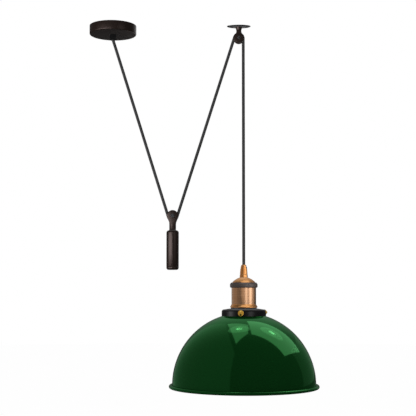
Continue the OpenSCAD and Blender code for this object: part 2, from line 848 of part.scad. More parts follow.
// Ring nut on the spigot that clamps the gallery from below
module shade_ring_nut() {
  color(black) on_lamp(gallery_top - 8.6) difference() {
    union() {
      cylinder(r = 25, h = 5);
      translate([0, 0, 3.6]) cylinder(r = 26.2, h = 1.4);
    }
    translate([0, 0, -nudge]) cylinder(r = spigot_r, h = 6);
    for (i = [0 : 11]) rotate([0, 0, 30 * i]) translate([25.6, 0, -nudge])
      cylinder(r = 1.6, h = 3.6 + nudge);
  }
}

// Three threaded bosses riveted into the gallery's wall
module gallery_bosses() {
  color(black) difference() {
    for (turn = screw_turns)
      on_lamp(screw_z) rotate([0, 0, turn]) rotate([0, 90, 0]) {
        translate([0, 0, gallery_r - 1.1]) cylinder(r = 3 - running_gap, h = 2);
        difference() {
          translate([0, 0, gallery_r - 1]) cylinder(r = 6.2, h = 2.2);
          rotate([0, -90, 0]) translate([0, 0, -10])
            cylinder(r = gallery_r + running_gap, h = 20);
        }
      }
    for (turn = screw_turns)
      on_lamp(screw_z) rotate([0, 0, turn]) rotate([0, 90, 0])
        translate([0, 0, gallery_r - 5]) cylinder(r = screw_shank_r + running_gap, h = 10);
  }
}

// Brass thumb screw: a shank, a round collar and a flat finger blade
module thumb_screw(which) {
  tip_r = neck_r + 0.2;
  collar_r = gallery_r + 1.4;
  collar_t = 1.4;
  blade_h = 10;
  blade_t = 3.4;
  blade_l = 3.8;
  color(brass) on_lamp(screw_z) rotate([0, 0, screw_turns[which]]) rotate([0, 90, 0]) {
    translate([0, 0, tip_r]) cylinder(r = screw_shank_r, h = collar_r - tip_r + nudge);
    translate([0, 0, collar_r]) cylinder(r = 5.8, h = collar_t);
    rotate([0, 0, blade_turns[which]])
      translate([0, 0, collar_r + collar_t - 0.1]) intersection() {
        translate([-blade_h / 2, -blade_t / 2, 0]) cube([blade_h, blade_t, blade_l]);
        translate([0, blade_t, -1.6]) rotate([90, 0, 0]) cylinder(r = 5.4, h = 2 * blade_t);
      }
  }
}

module thumb_screw_front() { thumb_screw(0); }
module thumb_screw_right() { thumb_screw(1); }
module thumb_screw_left() { thumb_screw(2); }

// ---------------------------------------------------------------- shade

// One zone of the spun dome, between two heights
module dome_zone(low, high) {
  difference() {
    translate([0, 0, dome_z]) sphere(r = dome_r);
    translate([0, 0, dome_z]) sphere(r = dome_r - shade_t);
    translate([-2 * dome_r, -2 * dome_r, low - 4 * dome_r])
      cube([4 * dome_r, 4 * dome_r, 4 * dome_r]);
    translate([-2 * dome_r, -2 * dome_r, high]) cube([4 * dome_r, 4 * dome_r, 4 * dome_r]);
    translate([0, 0, dome_z]) cylinder(r = neck_r - shade_t / 2, h = 2 * dome_r);
  }
}

// Crown of the shade, with the lipped neck that goes inside the gallery
module shade_crown() {
  neck_bottom = dome_z + sqrt(pow(dome_r - shade_t, 2) - pow(neck_r - shade_t, 2)) - 1;
  lip_top = screw_z + screw_shank_r + 1.4;
  color(green) translate([lamp_x, 0, 0]) {
    dome_zone(crown_z, 0);
    turned([
      [neck_r - shade_t, neck_bottom], [neck_r - shade_t, lip_top], [lip_r, lip_top],
      [lip_r, lip_top - shade_t], [neck_r, lip_top - shade_t], [neck_r, neck_bottom]
    ]);
  }
}

// Skirt of the shade, below the crown, with a rolled bead round the rim
module shade() {
  inner_r = dome_r - shade_t;
  color(green) translate([lamp_x, 0, 0]) {
    dome_zone(dome_z, crown_z);
    turned([
      [inner_r, dome_z], [dome_r, dome_z], [dome_r, rim_z - 1.4], [inner_r, rim_z - 1.4]
    ]);
    translate([0, 0, rim_z]) rotate_extrude() translate([rim_ring_r, 0]) circle(r = bead_r);
  }
}

// ---------------------------------------------------------------- the pieces

rose_cover();
rose_bracket();
rose_cover_screws();
rose_gland();
gland_locknut();
gland_grub_screw();
terminal_block();
terminal_tubes();
terminal_screws();
terminal_fixing_screw();
earth_terminal();
rose_cores();
pulley_plate();
pulley_fork();
pulley_neck_screw();
ceiling_wheel();
ceiling_wheel_bush();
ceiling_axle();
ceiling_axle_nut();
weight_fork();
weight_wheel();
weight_wheel_bush();
weight_axle();
weight_axle_nut();
weight_stud();
weight_shell();
weight_core();
weight_base_cap();
cord_left_run();
cord_right_run();
cord_drop();
cord_grip();
grip_collar();
grip_grub_screw();
cap_nipple();
nipple_nut();
earth_tag();
holder_cap();
holder_ring();
holder_shell();
insulating_liner();
holder_base();
porcelain_body();
screw_shell();
centre_contact();
holder_terminal_screws();
holder_cores();
gallery();
shade_ring_nut();
gallery_bosses();
thumb_screw_front();
thumb_screw_right();
thumb_screw_left();
shade_crown();
shade();
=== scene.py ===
# %% [markdown]
# # A rise and fall pendant
# A braided cord leaves a ceiling rose, runs under the wheel of a counterweight, up and over
# a ceiling pulley, and down to a copper lampholder with a deep-green domed shade. The model
# that arrives here is already built at its real size, as separate solids on moving bodies.
# This lesson dresses it: the shapes that show are modelled again with fillets, seams and
# rolled edges, and every piece gets a material that is made of nodes.

# %% Load the solids, and keep their box
import json
import math

import bmesh
import bpy
from mathutils import Matrix, Vector

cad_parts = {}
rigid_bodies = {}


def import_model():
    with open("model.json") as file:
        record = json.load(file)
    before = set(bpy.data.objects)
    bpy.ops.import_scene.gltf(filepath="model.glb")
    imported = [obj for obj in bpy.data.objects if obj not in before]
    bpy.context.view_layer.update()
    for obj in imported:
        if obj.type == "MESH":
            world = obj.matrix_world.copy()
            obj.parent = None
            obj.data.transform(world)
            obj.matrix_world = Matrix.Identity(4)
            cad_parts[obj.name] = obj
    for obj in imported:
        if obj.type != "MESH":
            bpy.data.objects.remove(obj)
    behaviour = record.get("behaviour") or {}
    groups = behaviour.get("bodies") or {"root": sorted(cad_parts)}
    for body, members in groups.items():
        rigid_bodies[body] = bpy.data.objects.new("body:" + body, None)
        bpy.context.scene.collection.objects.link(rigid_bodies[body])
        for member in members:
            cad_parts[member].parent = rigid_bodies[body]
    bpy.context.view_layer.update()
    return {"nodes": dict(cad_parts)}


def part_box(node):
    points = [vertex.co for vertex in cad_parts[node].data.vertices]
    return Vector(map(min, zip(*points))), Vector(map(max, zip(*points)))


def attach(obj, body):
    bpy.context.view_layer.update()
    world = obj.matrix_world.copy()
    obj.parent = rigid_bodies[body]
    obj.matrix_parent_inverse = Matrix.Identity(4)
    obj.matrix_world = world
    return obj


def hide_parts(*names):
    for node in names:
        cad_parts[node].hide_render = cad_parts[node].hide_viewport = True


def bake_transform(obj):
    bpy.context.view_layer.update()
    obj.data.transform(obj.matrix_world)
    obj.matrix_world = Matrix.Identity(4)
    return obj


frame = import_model()

# %% [markdown]
# ## Millimetres
# The scene is in metres, but a lampholder is easier to think about in millimetres. Each
# piece is shaped round the origin in millimetres, and a single matrix then scales it and
# carries it to its place. Heights and radii are read from the solids' own boxes, so that
# a piece sits where its solid sits.

# %% Reading sizes from the solids
MM = 0.001


def ends(node):
    """The bottom and top of a solid, in millimetres."""
    low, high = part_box(node)
    return low.z / MM, high.z / MM


def radius(node, axis="x"):
    """Half of a solid's width along one axis, in millimetres."""
    low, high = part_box(node)
    return (getattr(high, axis) - getattr(low, axis)) / 2 / MM


def centre(node):
    """The middle of a solid's box, in metres."""
    low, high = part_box(node)
    return (low + high) / 2


lamp_x = centre("holder_shell").x
weight_x = centre("weight_shell").x
ceiling_axle = centre("ceiling_wheel")
weight_axle = centre("weight_wheel")
print("lamp at", round(lamp_x, 4), "weight at", round(weight_x, 4))

# %% [markdown]
# ## The camera
# The photograph looks up at the rose and slightly down on the shade's rim, so the camera
# stands a little above the shade, two metres away, and tilts up by three and a half
# degrees. A small vertical shift keeps that tilt low, so that the drop cord stays upright.

# %% Camera
LENS_MM, SHIFT_UP, LOOK_UP = 85.05, 0.05, 3.5
CAMERA_AT = (0.1937, -1.976, -0.5349)
camera_data = bpy.data.cameras.new("camera")
camera_data.lens, camera_data.shift_y = LENS_MM, SHIFT_UP
camera = bpy.data.objects.new("camera", camera_data)
camera.location = CAMERA_AT
camera.rotation_euler = (math.radians(90 + LOOK_UP), 0, 0)
bpy.context.scene.collection.objects.link(camera)
bpy.context.scene.camera = camera
print("camera at", CAMERA_AT, "looking up", LOOK_UP, "degrees")

# %% [markdown]
# ## The helpers
# Nearly everything on this lamp is spun or turned on a lathe, so the main helper turns an
# outline round an axis with bmesh's spin. The outline is a list of radius and height, and
# its round stretches come from an arc function. Flat pieces are slabs: an outline pushed
# out to its thickness, with its edges bevelled.


# %% Outlines
def arc(x, y, r, start, end, steps=6):
    """Points on an arc, from one angle to another in degrees."""
    turns = [math.radians(start + (end - start) * i / steps) for i in range(steps + 1)]
    return [(x + r * math.cos(turn), y + r * math.sin(turn)) for turn in turns]


def rounded(points, r, steps=4):
    """The corners of an open outline cut to a radius; its two ends stay."""
    out = [points[0]]
    for before, corner, after in zip(points, points[1:], points[2:]):
        here = Vector(corner)
        back, on = Vector(before) - here, Vector(after) - here
        reach = min(r, back.length * 0.45, on.length * 0.45)
        first, last = here + back.normalized() * reach, here + on.normalized() * reach
        for i in range(steps + 1):
            t = i / steps
            p = first * (1 - t) ** 2 + here * 2 * t * (1 - t) + last * t**2
            out.append((p.x, p.y))
    return out + [points[-1]]


# %% Turned pieces and slabs
def turned(bm, outline, place=None, steps=96, closed=True):
    """Spins an outline of (radius, height) about Z, then puts it in its place."""
    old = set(bm.verts)
    line = [bm.verts.new((r, 0, z)) for r, z in outline]
    pairs = zip(line, line[1:] + line[:1]) if closed else zip(line, line[1:])
    edges = [bm.edges.new(pair) for pair in pairs if pair[0].co.x + pair[1].co.x > 0]
    bmesh.ops.spin(bm, geom=line + edges, cent=(0, 0, 0), axis=(0, 0, 1),
                   angle=math.tau, steps=steps, use_merge=True)
    made = [v for v in bm.verts if v not in old]
    bmesh.ops.transform(bm, matrix=place or Matrix(), verts=made)
    bmesh.ops.remove_doubles(bm, verts=[v for v in bm.verts if v not in old], dist=1e-4)


def spun(outline, place=None, steps=96, closed=True):
    """A new bmesh with one turned shape in it."""
    bm = bmesh.new()
    turned(bm, outline, place, steps, closed)
    return bm


def slab(bm, outline, thickness, place=None, bevel=0.0, segments=3):
    """Pushes a flat outline out along Z, half each way, and rounds its edges."""
    old = set(bm.verts)
    face = bm.faces.new([bm.verts.new((x, y, -thickness / 2)) for x, y in outline])
    pushed = bmesh.ops.extrude_face_region(bm, geom=[face])["geom"]
    top = [v for v in pushed if isinstance(v, bmesh.types.BMVert)]
    bmesh.ops.translate(bm, verts=top, vec=(0, 0, thickness))
    if bevel:
        rims = {e for v in bm.verts if v not in old for e in v.link_edges}
        flat = [e for e in rims if abs(e.verts[0].co.z - e.verts[1].co.z) < 1e-6]
        bmesh.ops.bevel(bm, geom=flat, offset=bevel, segments=segments, profile=0.5,
                        affect="EDGES", material=-1, clamp_overlap=True)
    made = [v for v in bm.verts if v not in old]
    bmesh.ops.transform(bm, matrix=place or Matrix(), verts=made)


# %% Objects, and shapes cut with shapes
def to_object(name, bm, material=None):
    """Puts a bmesh in the scene as an object, and frees it."""
    mesh = bpy.data.meshes.new(name)
    bm.to_mesh(mesh)
    bm.free()
    if material:
        mesh.materials.append(material)
    made = bpy.data.objects.new(name, mesh)
    bpy.context.scene.collection.objects.link(made)
    return made


def carved(bm, cutter, operation="DIFFERENCE"):
    """Cuts one closed shape out of another, or joins them, and frees both."""
    blocks = []
    for name, shape in (("kept", bm), ("cutter", cutter)):
        bmesh.ops.recalc_face_normals(shape, faces=shape.faces)
        blocks.append(to_object(name, shape))
    cut = blocks[0].modifiers.new("cut", "BOOLEAN")
    cut.object, cut.operation, cut.solver = blocks[1], operation, "EXACT"
    graph = bpy.context.evaluated_depsgraph_get()
    out = bmesh.new()
    out.from_mesh(blocks[0].evaluated_get(graph).to_mesh())
    for block in blocks:
        mesh = block.data
        bpy.data.objects.remove(block)
        bpy.data.meshes.remove(mesh)
    return out


# %% From a bmesh to a piece of the lamp
LIE_ALONG_Y = Matrix.Rotation(math.radians(-90), 4, "X")


def piece(name, bm, at, body, material, nodes, crease):
    """Scales a bmesh to metres, carries it to its place, and sets it on its body."""
    bmesh.ops.recalc_face_normals(bm, faces=bm.faces)
    place = Matrix.Translation(at) @ Matrix.Scale(MM, 4)
    bmesh.ops.transform(bm, matrix=place, verts=bm.verts)
    made = to_object(name, bm, material)
    made.data.shade_smooth()
    made.data.set_sharp_from_angle(angle=math.radians(crease))
    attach(made, body)
    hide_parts(*nodes)
    print(name, len(made.data.polygons), "faces")
    return made


# %% [markdown]
# ## Shared effects
# Three effects turn up in more than one finish, so each is a node group. Fine lines are
# what a lathe or a brush leaves: noise that is stretched thin across the lines. Grain is
# the faint orange peel of paint and the pebble of moulded nylon. Patina is a slow, cloudy
# mask that darkens metal and varies its gloss. Each group gives a mask and a height, and
# each material decides what to do with them.


# %% A small kit for building nodes
def new_group(name, inputs, outputs):
    """An empty shader group with its sockets, and its input and output nodes."""
    group = bpy.data.node_groups.new(name, "ShaderNodeTree")
    for socket, kind, default in inputs:
        made = group.interface.new_socket(socket, in_out="INPUT", socket_type=kind)
        if default is not None:
            made.default_value = default
    for socket, kind in outputs:
        group.interface.new_socket(socket, in_out="OUTPUT", socket_type=kind)
    return group, group.nodes.new("NodeGroupInput"), group.nodes.new("NodeGroupOutput")


def added(tree, kind, settings=None, **values):
    """A new shader node: its settings first, then plain values on its inputs."""
    node = tree.nodes.new("ShaderNode" + kind)
    for setting, choice in (settings or {}).items():
        setattr(node, setting, choice)
    for socket, value in values.items():
        node.inputs[socket.replace("_", " ")].default_value = value
    return node


def math_node(tree, operation, first, second=None):
    """A Math node whose inputs are sockets or plain numbers."""
    node = added(tree, "Math", {"operation": operation})
    for socket, value in zip(node.inputs, (first, second)):
        if isinstance(value, (int, float)):
            socket.default_value = value
        elif value is not None:
            tree.links.new(value, socket)
    return node.outputs[0]


def ranged(tree, value, low, high):
    """Maps 0..1 to low..high."""
    node = added(tree, "MapRange", To_Min=low, To_Max=high)
    tree.links.new(value, node.inputs["Value"])
    return node.outputs["Result"]


def mixed_shaders(tree, share, first, second):
    """Blends two shaders; the share is the second one's."""
    mix = added(tree, "MixShader")
    for socket, source in zip(mix.inputs, (share, first, second)):
        tree.links.new(source, socket)
    return mix.outputs["Shader"]


# %% Fine lines, grain and patina
NUMBER, POINT = "NodeSocketFloat", "NodeSocketVector"


def noise_group(name, stretch, detail, spread):
    """A group that samples noise on a stretched copy of the object's coordinates."""
    group, start, end = new_group(
        name, [("Vector", POINT, None), ("Scale", NUMBER, 1000.0)],
        [("Mask", NUMBER), ("Height", NUMBER)])
    stretched = added(group, "Mapping", Scale=stretch)
    noise = added(group, "TexNoise", Detail=detail, Roughness=0.6)
    mask = added(group, "MapRange", From_Min=0.5 - spread, From_Max=0.5 + spread)
    for out, into in ((start.outputs["Vector"], stretched.inputs["Vector"]),
                      (stretched.outputs["Vector"], noise.inputs["Vector"]),
                      (start.outputs["Scale"], noise.inputs["Scale"]),
                      (noise.outputs["Fac"], mask.inputs["Value"]),
                      (mask.outputs["Result"], end.inputs["Mask"]),
                      (noise.outputs["Fac"], end.inputs["Height"])):
        group.links.new(out, into)
    return group


fine_lines = noise_group("fine_lines", (0.012, 0.012, 1.0), 3.0, 0.22)
grain = noise_group("grain", (1.0, 1.0, 1.0), 2.0, 0.2)
patina = noise_group("patina", (1.0, 1.0, 0.6), 5.0, 0.25)

# %% [markdown]
# ## A recipe for a finish
# A finish starts from one shader with its plain numbers. Then a group adds variation: its
# mask blends two colours and two roughness values, and its height gives a gentle bump.
# The pattern is measured from the axis of the piece, so a Mapping node moves it there.


# %% Building a material
def finish(name, colour, roughness, **shader_values):
    """A material with one shader and plain values on its own sockets."""
    material = bpy.data.materials.new(name)
    material.use_nodes = True
    shader = material.node_tree.nodes["Principled BSDF"]
    shader.inputs["Base Color"].default_value = (*colour, 1)
    shader.inputs["Roughness"].default_value = roughness
    for socket, value in shader_values.items():
        shader.inputs[socket.replace("_", " ")].default_value = value
    material.diffuse_color = (*colour, 1)
    print("finish", name)
    return material


def measured_from(tree, at):
    """Object coordinates, counted from a point on the lamp."""
    place = added(tree, "TexCoord")
    shift = added(tree, "Mapping", Location=[-value for value in at])
    tree.links.new(place.outputs["Object"], shift.inputs["Vector"])
    return shift.outputs["Vector"]


def vary(material, group, scale, colours=None, roughness=None, bump=0.0, at=(0, 0, 0)):
    """Lets a group's mask drive colour and roughness, and its height a bump."""
    tree = material.node_tree
    shader = tree.nodes["Principled BSDF"]
    effect = added(tree, "Group", {"node_tree": group}, Scale=scale)
    tree.links.new(measured_from(tree, at), effect.inputs["Vector"])
    if colours:
        mix = added(tree, "Mix", {"data_type": "RGBA"}, A=(*colours[0], 1), B=(*colours[1], 1))
        tree.links.new(effect.outputs["Mask"], mix.inputs["Factor"])
        tree.links.new(mix.outputs["Result"], shader.inputs["Base Color"])
    if roughness:
        value = ranged(tree, effect.outputs["Mask"], *roughness)
        tree.links.new(value, shader.inputs["Roughness"])
    if bump:
        node = added(tree, "Bump", Strength=1.0, Distance=bump)
        tree.links.new(effect.outputs["Height"], node.inputs["Height"])
        if shader.inputs["Normal"].is_linked:
            tree.links.new(shader.inputs["Normal"].links[0].from_socket, node.inputs["Normal"])
        tree.links.new(node.outputs["Normal"], shader.inputs["Normal"])
    return material


# %% [markdown]
# ## The finishes
# The rose, forks, wheels and counterweight share a satin bronze powder coat, almost black
# with a brown cast. The lampholder is copper: bright on the cone, cap and bead, and
# brushed round the barrel. The shade is a deep green gloss enamel outside and white
# inside. Gallery and ring are black and dark grey paint, and the screws are yellow brass.

# %% Painted metals
bronze_paint = finish("bronze_paint", (0.0075, 0.0045, 0.0033), 0.34, Specular_IOR_Level=0.4,
                      Specular_Tint=(1, 0.78, 0.74, 1))
vary(bronze_paint, patina, 60, ((0.006, 0.0036, 0.0026), (0.009, 0.0055, 0.0042)), (0.31, 0.37))
vary(bronze_paint, grain, 1400, bump=0.000006)

gallery_black = finish("gallery_black", (0.006, 0.0055, 0.006), 0.34, Specular_IOR_Level=0.3)
vary(gallery_black, patina, 80, ((0.005, 0.0045, 0.005), (0.008, 0.007, 0.008)), (0.31, 0.37))
vary(gallery_black, grain, 2200, bump=0.00001)

ring_grey = finish("ring_grey", (0.085, 0.075, 0.075), 0.36, Metallic=0.5)
vary(ring_grey, fine_lines, 2600, ((0.07, 0.062, 0.062), (0.1, 0.088, 0.088)),
     (0.32, 0.42), 0.00001, (lamp_x, 0, 0))

# %% [markdown]
# Deep green gloss enamel shows its lights in green, not in white: a candy glaze over a
# ground coat does the same. Most of the shader is therefore the metallic lobe, whose
# mirror takes the base colour, and a small share stays a plain glossy paint.

# %% Enamel, outside and inside
green_enamel = finish("green_enamel", (0.0062, 0.075, 0.0135), 0.06, Metallic=0.7,
                      Specular_Tint=(0.5, 1.0, 0.6, 1))
vary(green_enamel, patina, 9, ((0.0058, 0.071, 0.0127), (0.0066, 0.079, 0.0143)), (0.05, 0.08))
vary(green_enamel, grain, 260, bump=0.000008)

white_enamel = finish("white_enamel", (0.83, 0.83, 0.8), 0.2, Coat_Weight=0.3)
vary(white_enamel, patina, 12, ((0.8, 0.8, 0.76), (0.86, 0.86, 0.83)), (0.16, 0.28))

# %% Copper, brass and steel
copper_bright = finish("copper_bright", (0.87, 0.43, 0.16), 0.3, Metallic=1.0)
vary(copper_bright, patina, 90, ((0.8, 0.35, 0.11), (0.92, 0.49, 0.2)), (0.33, 0.28))
vary(copper_bright, fine_lines, 1800, bump=0.000002, at=(lamp_x, 0, 0))

copper_brushed = finish("copper_brushed", (0.7, 0.43, 0.27), 0.3, Metallic=1.0)
vary(copper_brushed, fine_lines, 2300, ((0.56, 0.32, 0.18), (0.82, 0.54, 0.36)),
     (0.28, 0.32), 0.000002, (lamp_x, 0, 0))

brass = finish("brass", (0.86, 0.56, 0.1), 0.24, Metallic=1.0)
vary(brass, patina, 260, ((0.72, 0.43, 0.05), (0.9, 0.62, 0.15)), (0.2, 0.32))
vary(brass, fine_lines, 5000, bump=0.000008)

zinc_steel = finish("zinc_steel", (0.5, 0.5, 0.52), 0.32, Metallic=1.0)
vary(zinc_steel, patina, 150, ((0.4, 0.4, 0.43), (0.58, 0.58, 0.6)), (0.24, 0.42))
vary(zinc_steel, grain, 2500, bump=0.00001)

blackened_steel = finish("blackened_steel", (0.02, 0.02, 0.022), 0.36, Metallic=0.5)
vary(blackened_steel, patina, 300, ((0.014, 0.014, 0.016), (0.03, 0.03, 0.033)), (0.28, 0.46))

# %% Nylon, porcelain, card and core insulation
black_nylon = finish("black_nylon", (0.011, 0.011, 0.012), 0.46)
vary(black_nylon, grain, 3200, ((0.009, 0.009, 0.01), (0.015, 0.015, 0.016)),
     (0.38, 0.55), 0.00002)

white_nylon = finish("white_nylon", (0.78, 0.76, 0.7), 0.4, Subsurface_Weight=0.05)
vary(white_nylon, grain, 1800, ((0.74, 0.72, 0.65), (0.8, 0.79, 0.73)), (0.34, 0.48), 0.00001)

porcelain = finish("porcelain", (0.8, 0.79, 0.75), 0.12, Coat_Weight=0.5)
vary(porcelain, patina, 60, ((0.76, 0.75, 0.7), (0.83, 0.82, 0.79)), (0.08, 0.2))

card = finish("card", (0.46, 0.34, 0.2), 0.85)
vary(card, grain, 900, ((0.4, 0.29, 0.16), (0.52, 0.4, 0.25)), (0.8, 0.92), 0.00004)

core_insulation = finish("core_insulation", (0.12, 0.08, 0.05), 0.3)
vary(core_insulation, grain, 500, ((0.1, 0.065, 0.04), (0.15, 0.1, 0.065)), (0.25, 0.36))

# %% [markdown]
# ## The braided cord
# The cord is one length of 6 mm textile cable. It is modelled as three tubes, because the
# counterweight moves one end of the two slanting runs and the lamp moves the end of the
# drop. Each tube follows the same points as its solid, in metres, with a smooth curve
# drawn through them. Its UV map runs once round the cord and along it in metres, so that
# a braid can be woven on it at its real size.

# %% The cord's route
CORD_D = 0.006
left_route = [
    (0, -0.011), (0, -0.025), (0.0007, -0.03), (0.0022, -0.035), (0.0048, -0.043),
    (0.008, -0.053), (0.1139, -0.3907), (0.1152, -0.3933), (0.1172, -0.3953),
    (0.1193, -0.3965), (0.1215, -0.397), (0.1225, -0.397),
]
right_route = [
    (0.1225, -0.397), (0.1235, -0.397), (0.1257, -0.3965), (0.1278, -0.3953),
    (0.1298, -0.3933), (0.1311, -0.3907), (0.2479, -0.0223), (0.2492, -0.0197),
    (0.2512, -0.0177), (0.2533, -0.0165), (0.2555, -0.016), (0.2565, -0.016),
]
drop_route = [
    (0.2565, -0.016), (0.2575, -0.016), (0.2597, -0.0165), (0.2618, -0.0177),
    (0.2638, -0.0197), (0.265, -0.0222), (0.2655, -0.026), (0.2655, -0.508),
]


def smooth_route(route, straight_step=0.012, bend_step=0.0012):
    """Points close together on a smooth curve through the route, straight on its long runs."""
    points = [Vector((x, 0, z)) for x, z in route]
    along = []
    for i, (a, b) in enumerate(zip(points, points[1:])):
        before, after = points[max(i - 1, 0)], points[min(i + 2, len(points) - 1)]
        span = (b - a).length
        leave = (b - before) / ((b - a).length + (a - before).length) * span
        arrive = (after - a) / ((after - b).length + span) * span
        long_run = span > 3 * straight_step
        count = max(1, round(span / (straight_step if long_run else bend_step)))
        for k in range(count):
            t = k / count
            if long_run:
                along.append(a.lerp(b, t))
                continue
            along.append(a * (2 * t**3 - 3 * t**2 + 1) + leave * (t**3 - 2 * t**2 + t)
                         + b * (3 * t**2 - 2 * t**3) + arrive * (t**3 - t**2))
    return along + [points[-1]]


# %% The braid, woven in a node group
def braid_group(strands=8, slope=0.0024):
    """Two sets of strands that cross and pass over and under each other."""
    group, start, end = new_group(
        "braid", [("UV", POINT, None)],
        [("Strand", NUMBER), ("Height", NUMBER)])
    split = added(group, "SeparateXYZ")
    group.links.new(start.outputs["UV"], split.inputs["Vector"])
    around = math_node(group, "MULTIPLY", split.outputs["X"], strands)
    along = math_node(group, "DIVIDE", split.outputs["Y"], slope)
    ways, crowns = [], []
    for operation in ("ADD", "SUBTRACT"):
        way = math_node(group, operation, around, along)
        share = math_node(group, "FRACT", way)
        ways.append(math_node(group, "FLOOR", way))
        other = math_node(group, "SUBTRACT", 1.0, share)
        crowns.append(math_node(group, "MULTIPLY", math_node(group, "MULTIPLY", share, other), 4.0))
    over = math_node(group, "MODULO", math_node(group, "ABSOLUTE",
                     math_node(group, "ADD", ways[0], ways[1])), 2.0)
    under = math_node(group, "SUBTRACT", 1.0, over)
    height = math_node(group, "ADD", math_node(group, "MULTIPLY", crowns[0], over),
                       math_node(group, "MULTIPLY", crowns[1], under))
    group.links.new(over, end.inputs["Strand"])
    group.links.new(height, end.inputs["Height"])
    return group


braid = finish("braid", (0.02, 0.02, 0.021), 0.8, Sheen_Weight=0.04, Sheen_Roughness=0.4)
textile = braid.node_tree
weave = added(textile, "Group", {"node_tree": braid_group()})
uv_map = added(textile, "UVMap", {"uv_map": "around_along"})
# The braid's colour is partly painted light: each strand is lighter on its crown, a painted
# highlight, and darker towards its edges, painted shade in the grooves. The second set of strands
# is a darker tone of its own.
strand_tone_and_painted_light_colour = added(textile, "Mix", {"data_type": "RGBA"},
                      A=(0.008, 0.008, 0.0085, 1), B=(0.026, 0.026, 0.027, 1))
thread_bump = added(textile, "Bump", Distance=0.0003)
braid_shader = textile.nodes["Principled BSDF"]
strand_tone_and_painted_light_share = math_node(textile, "MULTIPLY", weave.outputs["Height"],
                         ranged(textile, weave.outputs["Strand"], 0.45, 1.0))
for out, into in ((uv_map.outputs["UV"], weave.inputs["UV"]),
                  (strand_tone_and_painted_light_share, strand_tone_and_painted_light_colour.inputs["Factor"]),
                  (strand_tone_and_painted_light_colour.outputs["Result"], braid_shader.inputs["Base Color"]),
                  (weave.outputs["Height"], thread_bump.inputs["Height"]),
                  (thread_bump.outputs["Normal"], braid_shader.inputs["Normal"])):
    textile.links.new(out, into)


# %% The tubes
def cord_tube(name, route, sides=20):
    """Extrudes a ring along a route in the plane y = 0, and maps it round and along."""
    path = smooth_route(route)
    bm = bmesh.new()
    ways = [(path[min(i + 1, len(path) - 1)] - path[max(i - 1, 0)]).normalized()
            for i in range(len(path))]
    upright = ways[0].to_track_quat("Z", "Y").to_matrix().to_4x4()
    bmesh.ops.create_circle(bm, cap_ends=True, segments=sides, radius=CORD_D / 2,
                            matrix=Matrix.Translation(path[0]) @ upright)
    ring, lengths = list(bm.edges), [0.0]
    for here, there, way, next_way in zip(path, path[1:], ways, ways[1:]):
        out = bmesh.ops.extrude_edge_only(bm, edges=ring)["geom"]
        verts = [v for v in out if isinstance(v, bmesh.types.BMVert)]
        ring = [e for e in out if isinstance(e, bmesh.types.BMEdge)
                and e.verts[0] in verts and e.verts[1] in verts]
        bend = Matrix.Translation(there) @ way.rotation_difference(next_way).to_matrix().to_4x4()
        bmesh.ops.transform(bm, matrix=bend @ Matrix.Translation(-here), verts=verts)
        lengths.append(lengths[-1] + (there - here).length)
    bmesh.ops.contextual_create(bm, geom=ring)
    bmesh.ops.recalc_face_normals(bm, faces=bm.faces)
    uv_layer = bm.loops.layers.uv.new("around_along")
    for face in bm.faces:
        turns = [loop.vert.index % sides for loop in face.loops]
        for loop, turn in zip(face.loops, turns):
            wraps = turn == 0 and sides - 1 in turns
            loop[uv_layer].uv = ((sides if wraps else turn) / sides,
                                 lengths[loop.vert.index // sides])
    tube = to_object(name, bm, braid)
    tube.data.shade_smooth()
    tube.data.set_sharp_from_angle(angle=math.radians(50))
    print(name, "is", round(lengths[-1], 4), "m long")
    return tube, path, lengths[-1]


# %% [markdown]
# When the lamp is pulled down, the counterweight rises and its two runs of cord shorten.
# A loaded cord stays straight. Here each run is one tube, made in its rest place, and the
# cord's solid is hidden.


def cord_between(name, route):
    """One tube in its rest place, which stands in for a cord's solid."""
    tube, path, length = cord_tube(name.replace("cord", "braided_cord"), route)
    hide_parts(name)
    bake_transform(tube)
    return tube


cord_between("cord_left_run", left_route)
cord_between("cord_right_run", right_route)
cord_between("cord_drop", drop_route)

# %% [markdown]
# ## The ceiling rose
# The rose is a spun cup with a small radius round its lower edge. Its wall and floor are
# drawn as one closed outline and turned, and the two countersunk holes for its side
# screws are cut afterwards. The gland below it is moulded nylon, a plain barrel with a
# tapered snout and a hole for its grub screw.

# %% Rose cover and gland
rose_bottom, rose_top = ends("rose_cover")
rose_r = radius("rose_cover", "y")
screw_low, screw_high = ends("rose_cover_screws")
cover = spun(rounded([(rose_r - 1.5, -0.4), (rose_r - 1.5, rose_top), (rose_r, rose_top),
                      (rose_r, -0.4)], 0.35, 2)[1:-1]
             + arc(rose_r - 2, rose_bottom + 2, 2, 0, -90, 8)
             + [(7.4, rose_bottom), (7.2, rose_bottom + 0.2), (7.2, rose_bottom + 1.5)]
             + arc(rose_r - 3, rose_bottom + 3, 1.5, -90, 0, 5), steps=128)
cutters = bmesh.new()
for side in (-1, 1):
    face_out = Matrix.Translation((side * rose_r, 0, (screw_low + screw_high) / 2)) \
        @ Matrix.Rotation(math.radians(90 * side), 4, "Y")
    turned(cutters, [(0, 1), (5, 1), (3.9, 0), (2.1, -1.4), (2.1, -3), (0, -3)], face_out, 32)
cover = carved(cover, cutters)
piece("rose_cover_spun", cover, (0, 0, 0), "ceiling", bronze_paint,
      ("rose_cover",), 28)

gland_bottom, gland_top = ends("rose_gland")
gland = spun(rounded([(3.15, gland_top), (7.1, gland_top), (7.1, rose_bottom), (6.9, rose_bottom),
                      (6.9, -24.4), (6.1, -27), (5.1, gland_bottom), (4.1, gland_bottom),
                      (3.15, gland_bottom + 2), (3.15, gland_top)], 0.6)[:-1], steps=72)
gland_screw = Matrix.Translation((0, 0, centre("gland_grub_screw").z / MM))
screw_hole = spun([(0, 0), (1.5, 0), (1.5, 7), (1.9, 7.4), (0, 7.4)],
                  gland_screw @ LIE_ALONG_Y, 24)
gland = carved(gland, screw_hole)
piece("gland_body", gland, (0, 0, 0), "ceiling", black_nylon,
      ("rose_gland",), 40)

